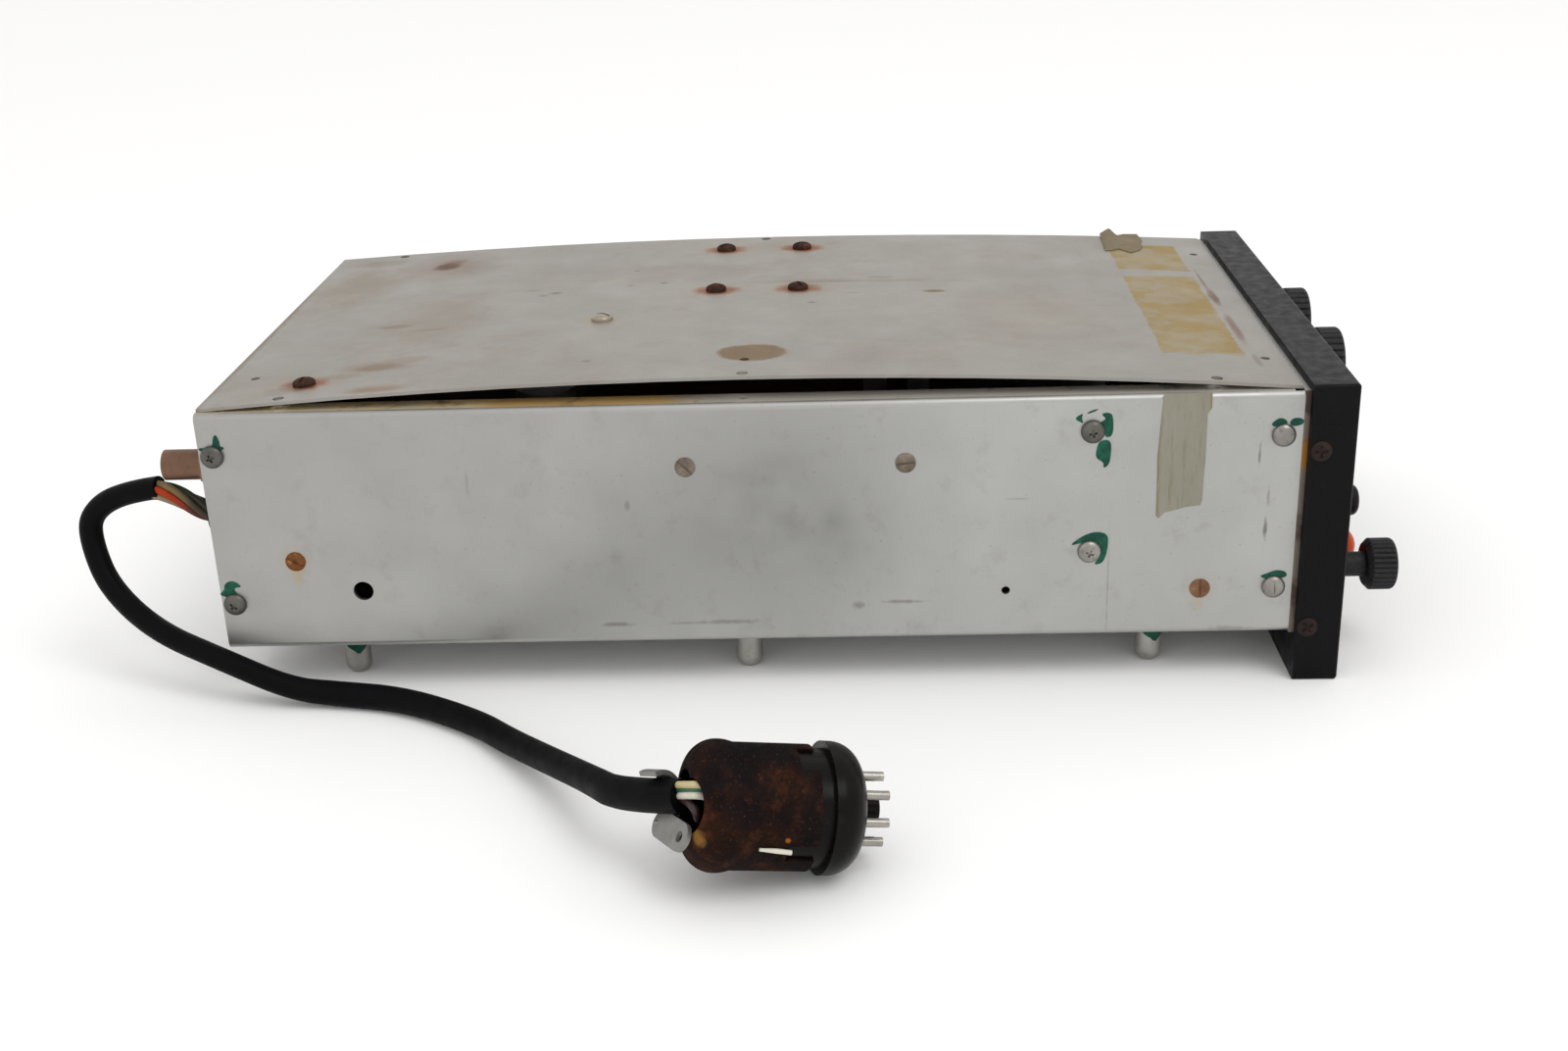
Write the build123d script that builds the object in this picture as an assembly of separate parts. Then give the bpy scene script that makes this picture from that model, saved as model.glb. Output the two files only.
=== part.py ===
from build123d import *
import math
import os

# Panel radio with a slide-rule dial, rear lead and eight-pin plug, in millimetres.
# The front looks along -Y, the rear along +Y, and Z is up from the table.

# Case sizes
body_width = 177.8
body_length = 317.5
body_height = 74.8
foot_height = 14.65
sheet = 1.2
bend_radius = 2.0
top_flange = 9.0
front_sheet = 1.6
end_flange = 12.0
flange_notch = 2.6
seat_gap = 0.3
running_gap = 0.05
screw_gap = 0.1
overcut = 5.0

# Bezel and front panel sizes
bezel_overhang = 2.7
bezel_rise = 2.55
bezel_depth = 13.2
bezel_wall = 3.0
bezel_edge = 1.0
bezel_rim = 6.0
panel_recess = 1.2
panel_sheet = 1.0
panel_gap = 0.2
bezel_face = 2.0
tab_reach = 8.0
tab_half = 4.0
low_tab_half = 2.8
tab_drop = 17.0

# Knob sizes
knob_reach = 19.9
knob_radius = 11.6
small_knob_radius = 7.8
knob_length = 8.8
knob_bevel = 1.4
knob_round = 1.6
hub_radius = 3.75
hub_in_panel = 0.6
flute_count = 30
flute_depth = 0.5
flute_width = 1.0
knob_skin = 2.2
mark_width = 1.0
mark_depth = 0.5
shaft_radius = 1.6
panel_hole_gap = 0.5

# Rear jack and grommet sizes
jack_reach = 16.0
jack_inset = 14.9
jack_drop = 20.45
jack_barrel = 4.6
jack_bore = 3.4
jack_neck = 5.0
jack_flange = 7.4
jack_flange_sheet = 1.5
jack_nut_radius = 6.6
jack_nut_sheet = 4.0
jack_skirt = 5.0
socket_bore = 1.65
insulator_sink = 4.0
grommet_inset = 11.9
grommet_drop = 34.45
grommet_radius = 6.5
grommet_neck = 5.2
grommet_lip = 2.4
grommet_bore = 3.4

# Stations that follow from the sizes above
front_reach = front_sheet + bezel_depth + knob_reach
wall_front = (front_reach - body_length - jack_reach) / 2
wall_rear = wall_front + body_length
half_body = body_width / 2
inner_half = half_body - sheet
floor_low = foot_height
floor_top = floor_low + sheet
wall_top = floor_low + body_height
plate_front = wall_front - front_sheet
bezel_front = plate_front - bezel_depth
face_front = bezel_front + panel_recess
cavity_front = face_front + bezel_face
bezel_width = body_width + 2 * bezel_overhang
bezel_height = wall_top + bezel_rise
half_bezel = bezel_width / 2
jack_x = jack_inset - half_body
jack_z = wall_top - jack_drop
grommet_x = grommet_inset - half_body
grommet_z = wall_top - grommet_drop

# Screw sizes and places on the side walls, measured from the wall's front edge and the floor
screw_radius = 1.6
pan_radius = 3.4
pan_height = 2.2
screw_side_share = 1 / 3
flat_radius = 3.0
flat_height = 0.5
wall_screw_length = 7.0
partition_y = 54.0
flange_screw_inset = 5.3
rear_screw_inset = 4.0
front_screw_inset = 5.4
high_screw_drop = 12.8
low_screw_rise = 15.0
partition_screw_drop = 10.6
partition_screw_rise = 27.2
rail_screw_drop = 19.0
rail_screw_near = 112.5
rail_screw_far = 141.4
strip_front = 26.7
strip_front_rise = 14.7
strip_rear_inset = 24.0
strip_rear_rise = 28.4
access_inset = 43.2
access_rise = 18.5
access_radius = 3.0
trim_along = 83.4
trim_rise = 15.1
trim_radius = 1.25
rear_along = body_length - rear_screw_inset
partition_along = partition_y + flange_screw_inset
high_screw = body_height - high_screw_drop
side_screw_spots = [
    (rear_along, high_screw), (rear_along, low_screw_rise),
    (front_screw_inset, high_screw), (front_screw_inset, low_screw_rise),
    (partition_along, body_height - partition_screw_drop), (partition_along, partition_screw_rise),
]
rail_screw_up = body_height - rail_screw_drop
rail_screw_spots = [(body_length - rail_screw_far, rail_screw_up), (rail_screw_near, rail_screw_up)]
strip_screw_spots = [(body_length - strip_rear_inset, strip_rear_rise), (strip_front, strip_front_rise)]
access_spot = (body_length - access_inset, access_rise)
trim_spot = (trim_along, trim_rise)

# Top cover sizes: the sheet is bowed upwards along its length, more at the near edge
cover_sheet = 1.0
cover_inset = 2.3
cover_end_gap = 0.4
near_bow = 6.4
far_bow = 4.6
cover_hole = 1.7
edge_hole = 1.4
group_inset = 49.7
group_span_x = 57.3
group_span_y = 27.2
bright_screw_inset = 67.8
bright_screw_back = 110.9
corner_screw_inset = 17.1
corner_screw_back = 28.5
edge_hole_inset = 5.3
edge_hole_front = 24.0
spare_rear_inset = 28.0
spare_rear_back = 10.5
spare_near_inset = 18.9
spare_front_inset = 27.0
spare_front = 6.0
group_x = half_body - group_inset
group_y = body_length / 2
edge_hole_x = half_body - edge_hole_inset
lone_screw_spots = [
    (bright_screw_inset - half_body, body_length - bright_screw_back),
    (corner_screw_inset - half_body, body_length - corner_screw_back),
]
edge_hole_spots = [edge_hole_front, body_length / 2, body_length - edge_hole_front]
spare_hole_spots = [
    (spare_rear_inset - half_body, body_length - spare_rear_back), (spare_near_inset - half_body, body_length / 2),
    (spare_front_inset - half_body, spare_front), (half_body - spare_front_inset, spare_front),
]
cover_screw_length = 7.0
nut_radius = 3.6
nut_sheet = 2.4

# Feet
foot_radius = 4.0
foot_inset = 14.4
foot_front = 38.7
foot_rear = 34.8
foot_x = half_body - foot_inset
foot_spots = [foot_front, (foot_front + body_length - foot_rear) / 2, body_length - foot_rear]
foot_flat = 1.5
foot_dome = 3.2
foot_screw_depth = 7.0
foot_screw_gap = 1.0
foot_screw_head = 3.0
foot_screw_cap = 1.8

# Partition and inner fittings
partition_slot_width = 40.0
partition_slot_height = 12.0
rail_front = 80.0
rail_rear = 67.5
rail_length = body_length - rail_front - rail_rear
rail_sheet = 1.5
rail_rise = 27.35
rail_drop = 12.45
rail_low = floor_low + rail_rise
rail_high = wall_top - rail_drop
rail_ledge = 12.0
board_margin = 2.0
board_sheet = 1.6
can_size = 13.0
can_height = 21.0
can_inset = 26.9
can_pitch_x = 20.0
can_pitch_y = 25.0
row_front = 105.0
can_spots = [
    (can_inset - half_body + column * can_pitch_x, row_front + row * can_pitch_y)
    for row in range(2) for column in range(3)
]
tank_radius = 9.5
tank_height = 32.0
tank_inset = 33.9
tank_pitch = 25.0
tank_back = 92.5
tank_spots = [(tank_inset - half_body + column * tank_pitch, body_length - tank_back) for column in range(3)]
crystal_width = 18.0
crystal_depth = 8.0
crystal_height = 19.0
crystal_inset = 58.9
crystal_pitch_x = 25.0
crystal_pitch_y = 15.0
crystal_spots = [
    (half_body - crystal_inset + column * crystal_pitch_x, row_front + row * crystal_pitch_y)
    for row in range(2) for column in range(2)
]
coil_width = 46.0
coil_depth = 34.0
coil_height = 24.0
coil_plate_width = 68.0
coil_plate_sheet = 1.6
coil_hang = 0.8
winding_share = 1 / 4
yoke_share = 1 / 5
strip_length = 24.0
strip_height = 11.0
strip_depth = 5.0
lug_radius = 1.0
lug_reach = 5.0
lug_pitch = 5.0
lug_count = 4

# Controls: across the front and above the table
tune_inset = 77.4
tune_drop = 23.45
select_inset = 27.9
volume_inset = 19.9
volume_rise = 12.85
lamp_inset = 35.9
lamp_rise = 12.35
button_rise = 27.35
tune_x = half_body - tune_inset
tune_z = wall_top - tune_drop
select_x = half_body - select_inset
select_z = tune_z
volume_x = volume_inset - half_body
volume_z = floor_low + volume_rise
lamp_x = lamp_inset - half_body
lamp_z = floor_low + lamp_rise
button_x = lamp_x
button_z = floor_low + button_rise

# Dial drive
window_inset = 18.9
window_end_gap = 12.5
window_rise = 12.0
window_drop = 7.45
window_left = window_inset - half_body
window_right = tune_x - window_end_gap
window_low = button_z + window_rise
window_high = wall_top - window_drop
lens_sheet = 1.5
lens_lap = 3.0
dial_sheet = 0.8
dial_side = 1.0
dial_end = 0.5
dial_under = 3.0
dial_left = window_left - dial_side
dial_right = window_right - dial_end
dial_low = window_low - dial_under
dial_high = window_high + dial_side
dial_back_gap = 5.0
spacer_radius = 2.2
spacer_inset = 11.0
spacer_right = 14.5
spacer_rise = 6.0
spacer_drop = 7.0
spacer_spots = [
    (x, z) for x in (dial_left + spacer_inset, dial_right - spacer_right)
    for z in (dial_low + spacer_rise, dial_high - spacer_drop)
]
drum_pitch = 19.0
idler_pitch = 6.0
pulley_lip = 1.1
pulley_width = 3.0
pulley_back = 1.3
groove_half = 0.8
cord_radius = 0.4
drum_hole_radius = 4.0
drum_hole_place = 11.0
drum_hole_count = 4
idler_inset = 8.9
idler_x = idler_inset - half_body
stud_radius = 1.5
stud_head = 2.8
stud_cap = 0.8
pointer_offset = 0.5
pointer_rise = 1.0
pointer_centre = (window_left + window_right) / 2 + pointer_offset
pointer_low = window_low + pointer_rise
pointer_width = 1.0
pointer_sheet = 0.6
pointer_gap = 1.2
clip_half = 3.0
clip_depth = 2.2
clip_low = 1.0
clip_high = 1.4
clip_bore_gap = 0.1

# Tuning bush and capacitor
bush_radius = 4.5
bush_flange = 6.0
bush_lip = 0.9
bush_reach = 4.6
gang_front = 6.0
gang_length = 34.0
gang_half = 17.0
gang_drop = 16.0
gang_sheet = 1.6
gang_post = 3.0
gang_post_x = 13.0
gang_post_drop = 12.5
rotor_hub = 3.2
rotor_front = 10.0
rotor_length = 26.0
plate_radius = 13.5
plate_sheet = 0.8
plate_pitch = 3.2
plate_count = 7
stator_half = 16.0
stator_gap = 1.2
stator_drop = 13.8
tie_radius = 0.9
tie_x = 14.4
tie_drop = 12.6

# Volume control, selector, button and lamp
pot_radius = 10.0
pot_depth = 12.0
pot_bush = 4.6
pot_bush_reach = 6.5
pot_bore_depth = 9.0
control_nut = 6.6
control_nut_sheet = 2.0
select_radius = 14.5
select_plate = 3.0
wafer_sheet = 1.8
wafer_spots = [13.0, 21.0]
wafer_bore = 5.2
wafer_rotor = 4.6
select_tie_x = 11.5
select_tie = 1.5
button_radius = 4.8
button_tip = 12.0
button_round = 2.0
button_stem = 2.4
button_head_back = 3.0
button_hole_gap = 0.2
switch_width = 13.0
switch_depth = 14.0
switch_bore = 10.0
stem_end = 6.0
jewel_radius = 6.3
jewel_straight = 6.2
jewel_wall = 1.3
jewel_lip = 7.8
jewel_lip_sheet = 1.2
jewel_gap = 0.2
holder_flange = 6.0
holder_lip = 1.5
holder_radius = 4.2
holder_reach = 9.0
bulb_radius = 2.9
bulb_base = 2.5
bulb_tip = 3.0
bulb_sink = 6.0

# Lead and plug
sleeve_radius = 3.5
bundle_radius = 2.8
bundle_sink = 8.0
bundle_run = 5.0
sleeve_start = (14.3, 17.9, 3.6)
sleeve_lead = 12.0
# The sleeve's route from the case's rear near corner, with heights above the table
sleeve_route = [
    (18.4, 44.9, 54.5), (17.4, 46.9, 37.5), (11.9, 35.4, 25.5), (0.9, 13.9, 19.0), (-8.1, -9.6, 10.0),
    (-9.6, -32.1, 3.6), (-14.1, -56.1, 3.6), (-29.1, -80.1, 3.6), (-42.4, -91.7, 4.6),
    (-63.0, -107.9, 9.5), (-83.4, -121.1, 16.2), (-98.6, -130.6, 21.8), (-108.5, -145.3, 26.7),
]
corner_share = 0.45
plug_out = 97.84
plug_forward = 188.99
plug_yaw = 15.0
plug_pitch = 11.0
flange_radius = 16.65
flange_round = 7.5
flange_sheet = 9.5
base_length = 24.0
cap_radius = 15.7
cap_bead = 16.35
cap_sheet = 0.8
cap_front = 13.0
neck_place = 32.4
neck_middle = 34.0
neck_rise = 0.45
bead_place = 36.2
shoulder_round = 7.6
mouth_cut_radius = 6.7
mouth_cut_x = -6.2
mouth_cut_y = 3.2
mouth_cut_depth = 4.0
notch_width = 8.0
notch_depth = 4.5
notch_turn = 101.0
slot_notch_width = 5.0
slot_notch_depth = 7.5
slot_notch_turn = 197.0
pin_radius = 1.18
pin_circle = 17.45
pin_length = 6.2
pin_count = 8
pin_turn = 38.5
pin_sink = 4.0
pin_root = 0.95
key_radius = 3.8
key_length = 5.4
key_rib = 1.0
key_rise = 0.3
clamp_sheet = 1.2
clamp_width = 5.5
clamp_ring = 7.3
clamp_drop = 1.2
clamp_back = 8.0
clamp_hole = 1.4
ear_width = 7.2
ear_eye = (-8.5, -4.2, -45.5)
ear_facing = (-0.26, 0.42, -0.87)


def block(left, right, near, far, low, high):
    centre = Pos((left + right) / 2, (near + far) / 2, (low + high) / 2)
    return centre * Box(right - left, far - near, high - low)


def rod(radius, start, end):
    line = Vector(*end) - Vector(*start)
    place = Plane(origin=start, z_dir=line)
    return place * Cylinder(radius, line.length, align=(Align.CENTER, Align.CENTER, Align.MIN))


def rod_y(radius, x, z, near, far):
    return rod(radius, (x, near, z), (x, far, z))


def rod_z(radius, x, y, low, high):
    return rod(radius, (x, y, low), (x, y, high))


def rod_x(radius, y, z, left, right):
    return rod(radius, (left, y, z), (right, y, z))


def turned(outline, place):
    face = make_face(Plane.XZ * Polyline(*outline, close=True))
    return place * revolve(face, Axis.Z)


def facing(origin, direction):
    return Plane(origin=origin, z_dir=direction)


# A pan-head screw seated at the origin with its head towards +Z
def pan_screw(radius, height, shank, length):
    side = height * screw_side_share
    crown = radius / 2
    middle = (radius * math.cos(math.pi / 6), side + (height - side) / 2)
    top = Line((0, height), (crown, height))
    arc = ThreePointArc((crown, height), middle, (radius, side))
    rest = Polyline((radius, side), (radius, 0), (shank, 0), (shank, -length), (0, -length), (0, height))
    return revolve(make_face([Plane.XZ * top, Plane.XZ * arc, Plane.XZ * rest]), Axis.Z)


def flat_screw(radius, height, shank, length):
    outline = [(0, height), (radius, height), (radius, 0), (shank, 0), (shank, -length), (0, -length)]
    return revolve(make_face(Plane.XZ * Polyline(*outline, close=True)), Axis.Z)


def save(name, pieces):
    items = pieces if isinstance(pieces, list) else [pieces]
    solids = [solid for item in items for solid in item.solids()]
    shape = solids[0] if len(solids) == 1 else Compound(children=solids)
    shape.label = name
    export_step(shape, "parts/" + name + ".step")


os.makedirs("parts", exist_ok=True)

# Chassis: one folded sheet with a floor, two walls and two inward flanges
long_outside = block(-half_body, half_body, wall_front, wall_rear, floor_low, wall_top)
long_outside = fillet(long_outside.edges().filter_by(Axis.Y), bend_radius)
hollow = block(-inner_half, inner_half, wall_front - overcut, wall_rear + overcut, floor_top, wall_top - sheet)
mouth_half = half_body - top_flange
mouth = block(
    -mouth_half, mouth_half, wall_front - overcut, wall_rear + overcut, floor_top, wall_top + overcut
)
notch = block(
    -inner_half, inner_half, wall_front - overcut, wall_front + flange_notch, floor_top, wall_top + overcut
)
chassis = long_outside - hollow - mouth - notch
both_walls = side_screw_spots + rail_screw_spots
for along, up in both_walls:
    chassis -= rod_x(
        screw_radius + screw_gap, wall_front + along, floor_low + up, -half_body - overcut, half_body + overcut
    )
for along, up in strip_screw_spots:
    chassis -= rod_x(
        screw_radius + screw_gap, wall_front + along, floor_low + up, -half_body - overcut, -half_body + overcut
    )
for spot, radius in ((access_spot, access_radius), (trim_spot, trim_radius)):
    chassis -= rod_x(
        radius, wall_front + spot[0], floor_low + spot[1], -half_body - overcut, -half_body + overcut
    )
for side in (-1, 1):
    for along in edge_hole_spots:
        chassis -= rod_z(
            edge_hole, side * edge_hole_x, wall_front + along, wall_top - overcut, wall_top + overcut
        )
    for along in foot_spots:
        chassis -= rod_z(
            screw_radius + screw_gap, side * foot_x, wall_front + along, floor_low - overcut, floor_low + overcut
        )
save("chassis", chassis)

# Front plate with side flanges behind it and tabs for the bezel in front of it
flange_low = floor_top + seat_gap
flange_high = wall_top - sheet - seat_gap
front_plate = block(-half_body, half_body, plate_front, wall_front, floor_low, wall_top)
bezel_tab_spots = [(wall_top - tab_drop, tab_half), (floor_low + low_tab_half, low_tab_half)]
bezel_screw_y = plate_front - front_sheet * 2
tab_outer = half_bezel - bezel_wall
for side in (-1, 1):
    edges = sorted((side * inner_half, side * (inner_half - front_sheet)))
    front_plate += block(edges[0], edges[1], wall_front, wall_front + end_flange, flange_low, flange_high)
    edges = sorted((side * tab_outer, side * (tab_outer - front_sheet)))
    for centre, half in bezel_tab_spots:
        front_plate += block(edges[0], edges[1], plate_front - tab_reach, plate_front, centre - half, centre + half)
for along, up in side_screw_spots:
    front_plate -= rod_x(
        screw_radius + screw_gap, wall_front + along, floor_low + up, -half_body - overcut, half_body + overcut
    )
for centre, half in bezel_tab_spots:
    front_plate -= rod_x(
        screw_radius + screw_gap, bezel_screw_y, centre, -half_bezel - overcut, half_bezel + overcut
    )
plate_holes = [
    (tune_x, tune_z, bush_radius + screw_gap), (volume_x, volume_z, pot_bush + screw_gap),
    (select_x, select_z, pot_bush + screw_gap), (lamp_x, lamp_z, holder_radius + screw_gap),
    (button_x, button_z, button_stem + seat_gap),
]
for x, z, radius in plate_holes:
    front_plate -= rod_y(radius, x, z, plate_front - overcut, wall_front + overcut)
for side in (-1, 1):
    idler_z = tune_z + side * (drum_pitch - idler_pitch)
    front_plate -= rod_y(stud_radius + running_gap, idler_x, idler_z, plate_front - overcut, wall_front + overcut)
save("front_plate", front_plate)

# Rear panel with flanges inside the walls and under the cover
rear_inside = wall_rear - sheet
rear_panel = block(-inner_half, inner_half, rear_inside, wall_rear, flange_low, flange_high)
lip_half = mouth_half - seat_gap
rear_panel += block(-lip_half, lip_half, rear_inside, wall_rear, flange_high, wall_top)
rear_panel += block(-lip_half, lip_half, wall_rear - end_flange, wall_rear, wall_top - sheet, wall_top)
for side in (-1, 1):
    edges = sorted((side * inner_half, side * (inner_half - sheet)))
    rear_panel += block(edges[0], edges[1], wall_rear - end_flange, wall_rear, flange_low, flange_high)
for along, up in side_screw_spots:
    rear_panel -= rod_x(
        screw_radius + screw_gap, wall_front + along, floor_low + up, -half_body - overcut, half_body + overcut
    )
rear_panel -= rod_y(jack_neck + screw_gap, jack_x, jack_z, wall_rear - overcut, wall_rear + overcut)
rear_panel -= rod_y(grommet_neck + running_gap, grommet_x, grommet_z, wall_rear - overcut, wall_rear + overcut)
save("rear_panel", rear_panel)

# Partition between the control bay and the circuit bay
partition_front = wall_front + partition_y
partition = block(-inner_half, inner_half, partition_front, partition_front + sheet, flange_low, flange_high)
partition -= block(
    -partition_slot_width / 2, partition_slot_width / 2, partition_front - overcut, partition_front + overcut,
    floor_low, flange_low + partition_slot_height
)
for side in (-1, 1):
    edges = sorted((side * inner_half, side * (inner_half - sheet)))
    partition += block(
        edges[0], edges[1], partition_front, partition_front + end_flange, flange_low, flange_high
    )
for along, up in side_screw_spots:
    partition -= rod_x(
        screw_radius + screw_gap, wall_front + along, floor_low + up, -half_body - overcut, half_body + overcut
    )
save("partition", partition)

# Top cover: a ruled sheet between a near arc and a far arc
cover_half = half_body - cover_inset
cover_near = wall_front + cover_end_gap
cover_far = wall_rear - cover_end_gap
cover_middle = (cover_near + cover_far) / 2
cover_reach = (cover_far - cover_near) / 2


def cover_bow(x):
    return near_bow + (far_bow - near_bow) * (x + cover_half) / (2 * cover_half)


def cover_under(x, y):
    return wall_top + cover_bow(x) * (1 - ((y - cover_middle) / cover_reach) ** 2)


def cover_tilt(x, y):
    return math.degrees(math.atan(-2 * cover_bow(x) * (y - cover_middle) / cover_reach ** 2))


def cover_section(x):
    rise = cover_bow(x)
    low = ThreePointArc((x, cover_near, wall_top), (x, cover_middle, wall_top + rise), (x, cover_far, wall_top))
    top = wall_top + cover_sheet
    high = ThreePointArc((x, cover_near, top), (x, cover_middle, top + rise), (x, cover_far, top))
    ends = [Line(low @ 0, high @ 0), Line(low @ 1, high @ 1)]
    return make_face([low, high] + ends)


top_cover = loft([cover_section(-cover_half), cover_section(cover_half)], ruled=True)
group_spots = [
    (group_x + across * group_span_x / 2, group_y + along * group_span_y / 2)
    for across in (-1, 1) for along in (-1, 1)
]
screw_spots = group_spots + lone_screw_spots
cut_low = wall_top - overcut
cut_high = wall_top + near_bow + overcut
for x, along in screw_spots:
    top_cover -= rod_z(cover_hole, x, wall_front + along, cut_low, cut_high)
for x, along in spare_hole_spots:
    top_cover -= rod_z(edge_hole, x, wall_front + along, cut_low, cut_high)
for side in (-1, 1):
    for along in edge_hole_spots:
        top_cover -= rod_z(cover_hole, side * edge_hole_x, wall_front + along, cut_low, cut_high)
save("top_cover", top_cover)


def on_cover(x, along, lift):
    y = wall_front + along
    return Pos(x, y, cover_under(x, y) + lift) * Rot(cover_tilt(x, y), 0, 0)


cover_lift = cover_sheet + running_gap
cover_screw = pan_screw(pan_radius, pan_height, screw_radius, cover_screw_length)
save("cover_screws", [on_cover(x, along, cover_lift) * cover_screw for x, along in screw_spots])
nut_shape = extrude(RegularPolygon(nut_radius, 6) - Circle(screw_radius + running_gap), -nut_sheet)
nut_drop = Pos(0, 0, -cover_lift - running_gap)
save("cover_nuts", [on_cover(x, along, cover_lift) * nut_drop * nut_shape for x, along in lone_screw_spots])

# Transformer hung from the four cover screws, with its core and winding
coil_y = wall_front + group_y
coil_top = cover_under(cover_half, coil_y) - coil_hang
transformer = block(
    group_x - coil_plate_width / 2, group_x + coil_plate_width / 2, coil_y - coil_depth / 2,
    coil_y + coil_depth / 2, coil_top - coil_plate_sheet, coil_top
)
core_low = coil_top - coil_plate_sheet - coil_height
transformer += block(
    group_x - coil_width / 2, group_x + coil_width / 2, coil_y - coil_depth / 4, coil_y + coil_depth / 4,
    core_low, coil_top - coil_plate_sheet
)
winding_half = coil_width * winding_share
winding_low = core_low + coil_height * yoke_share
winding_high = coil_top - coil_plate_sheet - coil_height * yoke_share
winding = block(
    group_x - winding_half, group_x + winding_half, coil_y - coil_depth / 2, coil_y + coil_depth / 2,
    winding_low, winding_high
)
transformer -= winding
for x, along in group_spots:
    transformer -= rod_z(screw_radius + screw_gap, x, wall_front + along, core_low, coil_top + overcut)
save("output_transformer", transformer)
save("transformer_winding", winding)

# Screws in the side walls
pan_wall = pan_screw(pan_radius, pan_height, screw_radius, wall_screw_length)
flat_wall = flat_screw(flat_radius, flat_height, screw_radius, wall_screw_length)


def on_wall(side, along, up, shape):
    place = facing((side * half_body, wall_front + along, floor_low + up), (side, 0, 0))
    return place * shape


save("side_screws", [on_wall(side, along, up, pan_wall) for side in (-1, 1) for along, up in side_screw_spots])
flat_places = [(-1, spot) for spot in rail_screw_spots + strip_screw_spots]
flat_places += [(1, spot) for spot in rail_screw_spots]
save("side_flush_screws", [on_wall(side, spot[0], spot[1], flat_wall) for side, spot in flat_places])

# Feet and the screws that hold them through the floor
dome_run = foot_radius - foot_flat
dome_bend = (dome_run ** 2 + foot_dome ** 2) / (2 * dome_run)
dome_turn = math.asin(foot_dome / dome_bend) / 2
dome_middle_x = foot_radius - dome_bend + dome_bend * math.cos(dome_turn)
foot_arc_mid = (dome_middle_x, foot_dome - dome_bend * math.sin(dome_turn))
foot_line = Polyline(
    (foot_radius, foot_dome), (foot_radius, foot_height), (screw_radius + running_gap, foot_height),
    (screw_radius + running_gap, foot_height - foot_screw_depth - foot_screw_gap),
    (0, foot_height - foot_screw_depth - foot_screw_gap), (0, 0), (foot_flat, 0)
)
foot_arc = ThreePointArc((foot_flat, 0), foot_arc_mid, (foot_radius, foot_dome))
foot = revolve(make_face([Plane.XZ * foot_line, Plane.XZ * foot_arc]), Axis.Z)
foot_places = [(side * foot_x, wall_front + along) for side in (-1, 1) for along in foot_spots]
save("feet", [Pos(x, y, 0) * foot for x, y in foot_places])
foot_screw = flat_screw(foot_screw_head, foot_screw_cap, screw_radius, foot_screw_depth + sheet)
save("foot_screws", [Pos(x, y, floor_top) * foot_screw for x, y in foot_places])

# Rails, circuit board and the parts that stand on it
rail_y = wall_front + rail_front
rails = []
for side in (-1, 1):
    edges = sorted((side * inner_half, side * (inner_half - rail_sheet)))
    rail = block(edges[0], edges[1], rail_y, rail_y + rail_length, rail_low, rail_high)
    edges = sorted((side * inner_half, side * (inner_half - rail_ledge)))
    rail += block(edges[0], edges[1], rail_y, rail_y + rail_length, rail_low, rail_low + rail_sheet)
    for along, up in rail_screw_spots:
        rail -= rod_x(
            screw_radius + screw_gap, wall_front + along, floor_low + up, -half_body - overcut, half_body + overcut
        )
    rails.append(rail)
save("board_rails", rails)
board_low = rail_low + rail_sheet
board_top = board_low + board_sheet
board_half = inner_half - rail_sheet - board_margin
save("circuit_board", block(
    -board_half, board_half, rail_y + board_margin, rail_y + rail_length - board_margin, board_low, board_top
))
cans = []
for x, along in can_spots:
    y = wall_front + along
    cans.append(block(
        x - can_size / 2, x + can_size / 2, y - can_size / 2, y + can_size / 2, board_top, board_top + can_height
    ))
save("if_cans", cans)
save("filter_capacitors", [
    rod_z(tank_radius, x, wall_front + along, board_top, board_top + tank_height) for x, along in tank_spots
])
crystals = []
for x, along in crystal_spots:
    y = wall_front + along
    crystals.append(block(
        x - crystal_width / 2, x + crystal_width / 2, y - crystal_depth / 2, y + crystal_depth / 2,
        board_top, board_top + crystal_height
    ))
save("crystals", crystals)

# Terminal strips on the near wall
strips = []
for along, up in strip_screw_spots:
    y = wall_front + along
    z = floor_low + up
    strip = block(
        -inner_half, -inner_half + strip_depth, y - strip_length / 2, y + strip_length / 2,
        z - strip_height / 2, z + strip_height / 2
    )
    for number in range(lug_count):
        lug_y = y + (number - (lug_count - 1) / 2) * lug_pitch
        lug_z = z + strip_height / 4
        strip += rod_x(lug_radius, lug_y, lug_z, -inner_half, -inner_half + strip_depth + lug_reach)
    strip -= rod_x(screw_radius + screw_gap, y, z, -half_body - overcut, -inner_half + strip_depth + overcut)
    strips.append(strip)
save("terminal_strips", strips)

# Bezel: a deep frame with a recessed face, hollow behind
bezel = block(-half_bezel, half_bezel, bezel_front, plate_front, 0, bezel_height)
front_edges = bezel.edges().group_by(Axis.Y)[0]
corner_edges = bezel.edges().filter_by(Axis.Y)
bezel = fillet(front_edges + corner_edges, bezel_edge)
rim_half = half_bezel - bezel_rim
panel_low = bezel_rim
panel_high = bezel_height - bezel_rim
bezel -= block(-rim_half, rim_half, bezel_front - overcut, face_front, panel_low, panel_high)
bezel -= block(-tab_outer, tab_outer, cavity_front, plate_front + overcut, floor_low, bezel_height - bezel_wall)
knob_spots = [(tune_x, tune_z), (select_x, select_z), (volume_x, volume_z)]
front_holes = [(x, z, hub_radius + panel_hole_gap) for x, z in knob_spots]
front_holes.append((lamp_x, lamp_z, jewel_radius + jewel_gap))
front_holes.append((button_x, button_z, button_radius + button_hole_gap))


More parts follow.
